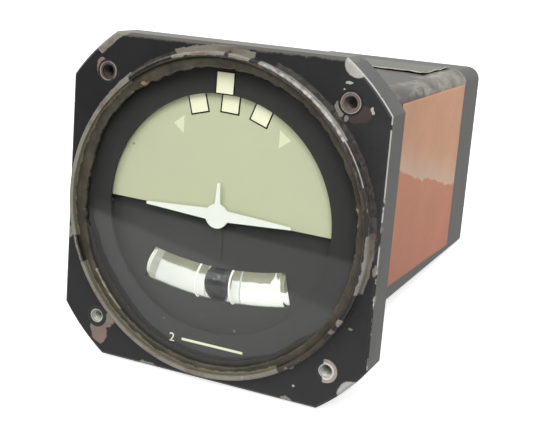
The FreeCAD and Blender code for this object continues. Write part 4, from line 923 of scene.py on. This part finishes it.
def makeLiquidTube(radius, halfAngle, endLength, endWidth, endSteps, steps, around):
    half = math.radians(halfAngle)
    endAngle = endLength / tubeCurve["radius"]
    ends = [-half + endAngle * (1 - math.cos(math.pi / 2 * step / endSteps))
            for step in range(1, endSteps + 1)]
    middle = [-half + endAngle + (half - endAngle) * 2 * step / steps for step in range(1, steps)]
    rings = []
    for angle in ends + middle + [-angle for angle in reversed(ends)]:
        left = min(1.0, (half - abs(angle)) / endAngle)
        width = radius * (math.sqrt(1 - (1 - left) ** 2) * (1 - endWidth) + endWidth)
        out, centre = onTube(angle)
        rings.append(circle(centre, out, backward, width, around))
    bm = bmesh.new()
    sweepSolid(bm, rings)
    tube = addPiece("liquidTube", bm, "bentTubeGlass", "case")
    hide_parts("inclinometer_tube")


def makeTubeWires(places, wire, steps):
    bm = bmesh.new()
    for place in places:
        out, centre = onTube(place / tubeCurve["radius"])
        along = Vector((-out.z, 0, out.x))
        rings = []
        for turn in turnsOf(steps):
            radial = out * math.cos(turn) + backward * math.sin(turn)
            middle = centre + radial * (liquidTube["radius"] + wire * 0.8)
            rings.append(circle(middle, radial, along, wire, 8))
        sweepRings(bm, rings, closeAlong=True)
    addPiece("tubeWires", bm, "wireWhite", "case")


makeTubeWires(**tubeWires)
makeLiquidTube(**liquidTube)
print("dial marks made")


# Orange label on the can's right side, following its rounded corners, and foil on top

canShape = {"halfWidth": 28.575, "halfHeight": 30.15, "corner": 4.2, "lowerCorner": 1.8}
sideLabel = {"front": 50.0, "back": 117.1, "low": -25.2, "high": 26.1, "askew": 2.0,
             "stands": (0.14, 0.04), "rows": 60, "columns": 50}
topFoil = {"front": 93.6, "corner": 3.5, "cornerWidth": 6.0, "back": 121.0,
           "stands": (0.22, 0.12), "reach": 21.9, "curl": 0.45, "rimCurl": 0.35, "roll": 0.2,
           "rows": 60, "columns": 44}


def canSide(height, stand):  # the can's right side at a height, with its rounded corners
    corner = canShape["corner"] if height > 0 else canShape["lowerCorner"]
    reach = corner + stand
    over = min(max(0.0, abs(height) - canShape["halfHeight"] + corner), reach * 0.999)
    return canShape["halfWidth"] - corner + math.sqrt(reach * reach - over * over)


def makeSideLabel(front, back, low, high, askew, stands, rows, columns):
    def place(row, column, stand):
        share = column / columns
        bottom = low - askew * share
        height = bottom + (high - bottom) * row / rows
        depth = front + (back - front) * share
        ripple = 0.05 * noise.noise(Vector((depth * 0.12, height * 0.12, 0)))
        edge = 0.12 * noise.noise(Vector((depth * 0.6, row * 0.7, 3)))
        rise = edge if row in (0, rows) else 0
        slide = edge if column in (0, columns) else 0
        return mm(canSide(height, stand + ripple), depth + slide, height + rise)

    bm = bmesh.new()
    thinSheet(bm, rows, columns, stands, place)
    addPiece("sideLabel", bm, "orangeLabel", "case")


def makeTopFoil(front, corner, cornerWidth, back, stands, reach, curl, rimCurl, roll, rows,
                columns):
    def place(row, column, stand):
        x = reach * (-1 + 2 * column / columns)
        start = front + 0.5 * math.sin(x * 0.35)
        start -= corner * max(0, 1 - (reach - x) / cornerWidth)
        depth = start + (back - start) * row / rows
        near = max(0.0, 1 - (depth - start) / 3.0)
        rim = max(0.0, 1 - (reach - x) / 1.6)
        lift = curl * near * near * (0.75 + 0.5 * noise.noise(Vector((x * 0.2, 0, 0))))
        lift += rimCurl * rim * rim * (0.7 + noise.noise(Vector((0, depth * 0.15, 0))))
        ripple = 0.06 * noise.noise(Vector((x * 0.15, depth * 0.12, 4)))
        return mm(x, depth, canShape["halfHeight"] + stand + lift + ripple)

    bm = bmesh.new()
    thinSheet(bm, rows, columns, stands, place)
    addPiece("topFoil", bm, "scuffedFoil", "case")
    border = [place(0, column, stands[0]) for column in range(columns + 1)]
    border += [place(row, columns, stands[0]) for row in range(1, rows + 1)]
    rings = []  # the foil's front and right edges are rolled over, and painted pale as a highlight
    upward = Vector((0, 0, 1))
    for number, point in enumerate(border):
        before, after = border[max(0, number - 1)], border[min(len(border) - 1, number + 1)]
        across = (after - before).normalized().cross(upward).normalized()
        width = roll * (0.8 + 0.5 * noise.noise(point * 300))
        rings.append(circle(point / milli, across, upward, width, 10))
    rolled = bmesh.new()
    sweepSolid(rolled, rings)
    addPiece("foilEdge", rolled, "foilLipHighlight", "case")


makeSideLabel(**sideLabel)
makeTopFoil(**topFoil)


# Threads in the four mounting inserts

insertThreads = {"root": 1.6, "crest": 1.32, "pitch": 0.79, "start": 0.5, "end": 9.1}


def makeInsertThreads():
    bm = bmesh.new()
    for side in (-1, 1):
        for up in (-1, 1):
            centre = (side * insertOffset, 0, up * insertOffset)
            sweepSolid(bm, threadRings(**insertThreads, centre=centre))
    addPiece("insertThreads", bm, "insertWear", "case")


makeInsertThreads()


# Screws with real slots, in the place of the plain ones

screwShapes = {
    "cover": dict(places=[(x, 136.5, z) for x in (-22.31, 22.31) for z in (-23.89, 23.89)],
                  head=2.5, height=1.5, shank=1.4, length=9.0, slot=0.7, deep=0.75, cross=False,
                  node="cover_screws"),
    "connector": dict(places=[(x, 138.1, z) for x in (-9.1, 9.1) for z in (-9.1, 9.1)],
                      head=1.7, height=1.1, shank=0.88, length=3.5, slot=0.45, deep=0.55,
                      cross=True, node="connector_screws"),
}


def cutSlots(piece, slots):
    bm = bmesh.new()
    for corners in slots:
        sweepSolid(bm, [corners[:4], corners[4:]])
    cutter = addObject("cutter", meshFrom("cutter", bm))
    modifier = piece.modifiers.new("slots", "BOOLEAN")
    modifier.object = cutter
    modifier.operation = "DIFFERENCE"
    modifier.solver = "EXACT"
    bpy.context.view_layer.update()
    depsgraph = bpy.context.evaluated_depsgraph_get()
    mesh = bpy.data.meshes.new_from_object(piece.evaluated_get(depsgraph))
    piece.modifiers.clear()
    piece.data = mesh
    bpy.data.objects.remove(cutter)


def makeScrews(name, places, head, height, shank, length, slot, deep, cross, node):
    profile = [(0, height), (head * 0.45, height * 0.97), (head * 0.8, height * 0.84),
               (head * 0.97, height * 0.55), (head, height * 0.33), (head, 0.02),
               (head * 0.98, 0), (shank, 0), (shank, 0.3 - length), (shank * 0.7, -length),
               (0, -length)]
    ways = (0, math.pi / 2) if cross else (0,)
    reach = head * (0.62 if cross else 1.3)
    bm = bmesh.new()
    slots = []
    for place in places:
        sweepRings(bm, [spun(profile, turn, place) for turn in turnsOf(40)], closeAlong=True,
                   closeAround=False)
        bmesh.ops.remove_doubles(bm, verts=bm.verts, dist=1e-7)
        spin = random.uniform(0, math.pi)
        for way in ways:
            along = outward(spin + way)
            across = Vector((-along.z, 0, along.x)) * slot / 2
            slots.append([(Vector(place) + along * reach * a + across * b + backward * level)
                          * milli for level in (height + 0.4, height - deep)
                          for a, b in ((-1, -1), (1, -1), (1, 1), (-1, 1))])
    screws = addPiece(name, bm, "machinedSteel", "case")
    for number in range(len(ways)):
        cutSlots(screws, slots[number::len(ways)])
    softEdges(screws, 0.05, 1)
    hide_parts(node)


for name, shape in screwShapes.items():
    makeScrews(name + "ScrewSet", **shape)
print("label, foil, threads and screws made")


# Motor winding: crossing turns of enamelled wire in place of the plain sleeve

motorWinding = {"low": -6.1, "high": 8.6, "inner": 12.82, "outer": 13.28, "wire": 0.17,
                "turns": 90, "lean": 34, "centre": 75.0, "steps": 8}


def makeMotorWinding(low, high, inner, outer, wire, turns, lean, centre, steps):
    curve = bpy.data.curves.new("motorWinding", "CURVE")
    curve.dimensions = "3D"
    curve.bevel_depth = wire * milli
    curve.bevel_resolution = 2
    shares = [step / (steps - 1) for step in range(steps)]
    there = [(outer, share, share) for share in shares]  # (radius, share of length, share of lean)
    back = [(inner, 1 - share, 1 + share) for share in shares]
    for turn in range(turns):
        spline = curve.splines.new("POLY")
        spline.points.add(2 * steps - 1)
        for point, (radius, share, leaning) in zip(spline.points, there + back):
            angle = 2 * math.pi * turn / turns + math.radians(lean) * leaning
            point.co = (*mm(low + (high - low) * share, centre + radius * math.cos(angle),
                            radius * math.sin(angle)), 1)
        spline.use_smooth = True
    winding = addPiece("motorWinding", curve, "copperWire", "rotor")
    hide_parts("rotor_winding")


makeMotorWinding(**motorWinding)


# Receptacle shell with its thread, in the place of the plain one

receptacle = {"plate": 12.0, "plateCorner": 2.0, "plateBack": 136.5, "plateFront": 138.1,
              "neck": 7.9, "hole": 7.7, "root": 7.5, "crest": 7.94, "bore": 6.94, "end": 149.0,
              "start": 132.5, "pitch": 1.06}


def makeReceptacle(plate, plateCorner, plateBack, plateFront, neck, hole, root, crest, bore, end,
                   start, pitch):
    bm = bmesh.new()
    profile = [(bore, start), (neck, start), (neck, plateFront + 1.2), (root, plateFront + 1.6),
               (root, end - 0.5), (root - 0.25, end), (bore + 0.1, end), (bore, end - 0.2)]
    sweepRings(bm, [spun(profile, turn) for turn in turnsOf(96)], closeAlong=True)
    sweepRings(bm, threadRings(root, crest, pitch, plateFront + 2.6, end - 1.0, steps=64))
    outline = []
    straight = plate - plateCorner
    for corner, (sideX, sideZ) in enumerate(((1, 1), (-1, 1), (-1, -1), (1, -1))):
        for step in range(9):
            angle = math.radians(90 * corner + 90 * step / 8)
            outline.append((sideX * straight + plateCorner * math.cos(angle),
                            sideZ * straight + plateCorner * math.sin(angle)))
    inside = [Vector(corner).normalized() * hole for corner in outline]
    bevelled = [(x * 0.985, z * 0.985) for x, z in outline]
    back = plateBack + 0.02
    sweepRings(bm, [[mm(x, depth, z) for x, z in line] for line, depth in (
        (inside, back), (outline, back), (outline, plateFront - 0.15), (bevelled, plateFront),
        (inside, plateFront))])
    shell = addPiece("receptacleShell", bm, "machinedAluminium",
                     "case")
    shell.data.set_sharp_from_angle(angle=math.radians(35))
    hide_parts("connector_shell")


makeReceptacle(**receptacle)
print("winding and receptacle made")


# Floor under the instrument, which rests on its flange and the back of its can. The glass mirrors
# a pale table with two edges: each edge is given by its start in mm and its lean.

studio = {
    "floorFront": (9.525, -41.275), "floorBack": (136.5, -30.15),
    "floorColour": seen(238, 238, 236), "floorGlow": 0.72, "nearEdge": (-95.7, 0.583),
    "farEdge": (-172.4, 0.244), "nearMirrored": 0.72, "middleMirrored": 0.4,
    "middleFade": (-180, -105), "farMirrored": 0.04, "skyMirrored": 0.05, "worldLevel": 0.34,
}
lamps = {"keyLamp": dict(place=(0.42, -0.88, 0.92), size=0.9, energy=13.0),
         "fillLamp": dict(place=(-0.75, -0.8, 0.7), size=1.0, energy=6.5)}
lampAim = Vector((0, 0.03, 0))


def makeFloor():
    values = studio
    (frontY, frontZ), (backY, backZ) = values["floorFront"], values["floorBack"]
    bm = bmesh.new()
    bmesh.ops.create_grid(bm, x_segments=1, y_segments=1, size=4.0)
    floor = addObject("studioFloor", meshFrom("studioFloor", bm))
    floor.location = mm(0, frontY, frontZ - 0.05)
    floor.rotation_euler = (math.atan2(backZ - frontZ, backY - frontY), 0, 0)
    shader = newMaterial("paleFloor")
    feed(shader, {"Base Color": values["floorColour"], "Roughness": 0.9,
                  "Specular IOR Level": 0.0})
    path = outputsOf(addNode("ShaderNodeLightPath"))
    shown = most(path["Is Camera Ray"], path["Is Transmission Ray"])
    glow = addNode("ShaderNodeEmission", {"Color": (1, 1, 1, 1),
                                          "Strength": shown * values["floorGlow"]})
    total = addNode("ShaderNodeAddShader", {0: shader, 1: glow})
    x, y, z = placeInMm(SurfaceValue(addNode("ShaderNodeNewGeometry"), "Position"))
    pastFar, pastNear = [ramp(y - (x * lean + start), -4, 4)
                         for start, lean in (values["farEdge"], values["nearEdge"])]
    middle = mixValue(ramp(x, *values["middleFade"]), values["farMirrored"],
                      values["middleMirrored"])
    level = mixValue(pastFar, values["farMirrored"], middle)
    level = mixValue(pastNear, level, values["nearMirrored"])
    mirrored = addNode("ShaderNodeEmission", {"Color": (1, 1, 1, 1), "Strength": level})
    surface = addNode("ShaderNodeMixShader", {0: path["Is Glossy Ray"], 1: total, 2: mirrored})
    feed(tree.nodes["Material Output"], {"Surface": surface})
    floor.data.materials.append(finishes["paleFloor"])


def makeLamp(name, place, size, energy):
    lamp = bpy.data.lights.new(name, "AREA")
    lamp.shape = "DISK"
    lamp.size = size
    lamp.energy = energy
    holder = addObject(name, lamp)
    holder.location = place
    holder.rotation_euler = (lampAim - Vector(place)).to_track_quat("-Z", "Y").to_euler()


def makeWorld():
    global tree
    world = bpy.data.worlds.new("softStudio")
    bpy.context.scene.world = world
    world.use_nodes = True
    tree = world.node_tree
    path = outputsOf(addNode("ShaderNodeLightPath"))
    shown = most(path["Is Camera Ray"], path["Is Glossy Ray"], path["Is Transmission Ray"])
    sideways, forward, upward = split(coordinate("Generated"))
    mirrored = mixValue(ramp(forward, -0.75, -0.1), studio["skyMirrored"], 0.9)
    glossy = mixValue(path["Is Glossy Ray"], 1.0, mirrored)
    feed(tree.nodes["Background"], {"Color": (1, 1, 1, 1), "Strength": mixValue(
        shown, studio["worldLevel"], glossy)})


makeFloor()
for name, settings in lamps.items():
    makeLamp(name, **settings)
makeWorld()


# Camera where the photograph was taken from

viewpoint = {"place": (108.46, -222.04, 62.15), "turn": (78.232, -4.235, 25.285), "lens": 69.98,
             "shift": (0.0509, -0.0755)}


def makeCamera(place, turn, lens, shift):
    camera = bpy.data.cameras.new("photoCamera")
    camera.lens = lens
    camera.sensor_width = 36
    camera.shift_x, camera.shift_y = shift
    camera.clip_start = 0.01
    holder = addObject("photoCamera", camera)
    holder.location = mm(*place)
    holder.rotation_euler = [math.radians(angle) for angle in turn]
    bpy.context.scene.camera = holder


makeCamera(**viewpoint)
bpy.context.scene.view_settings.view_transform = "Standard"

print("scene ready")
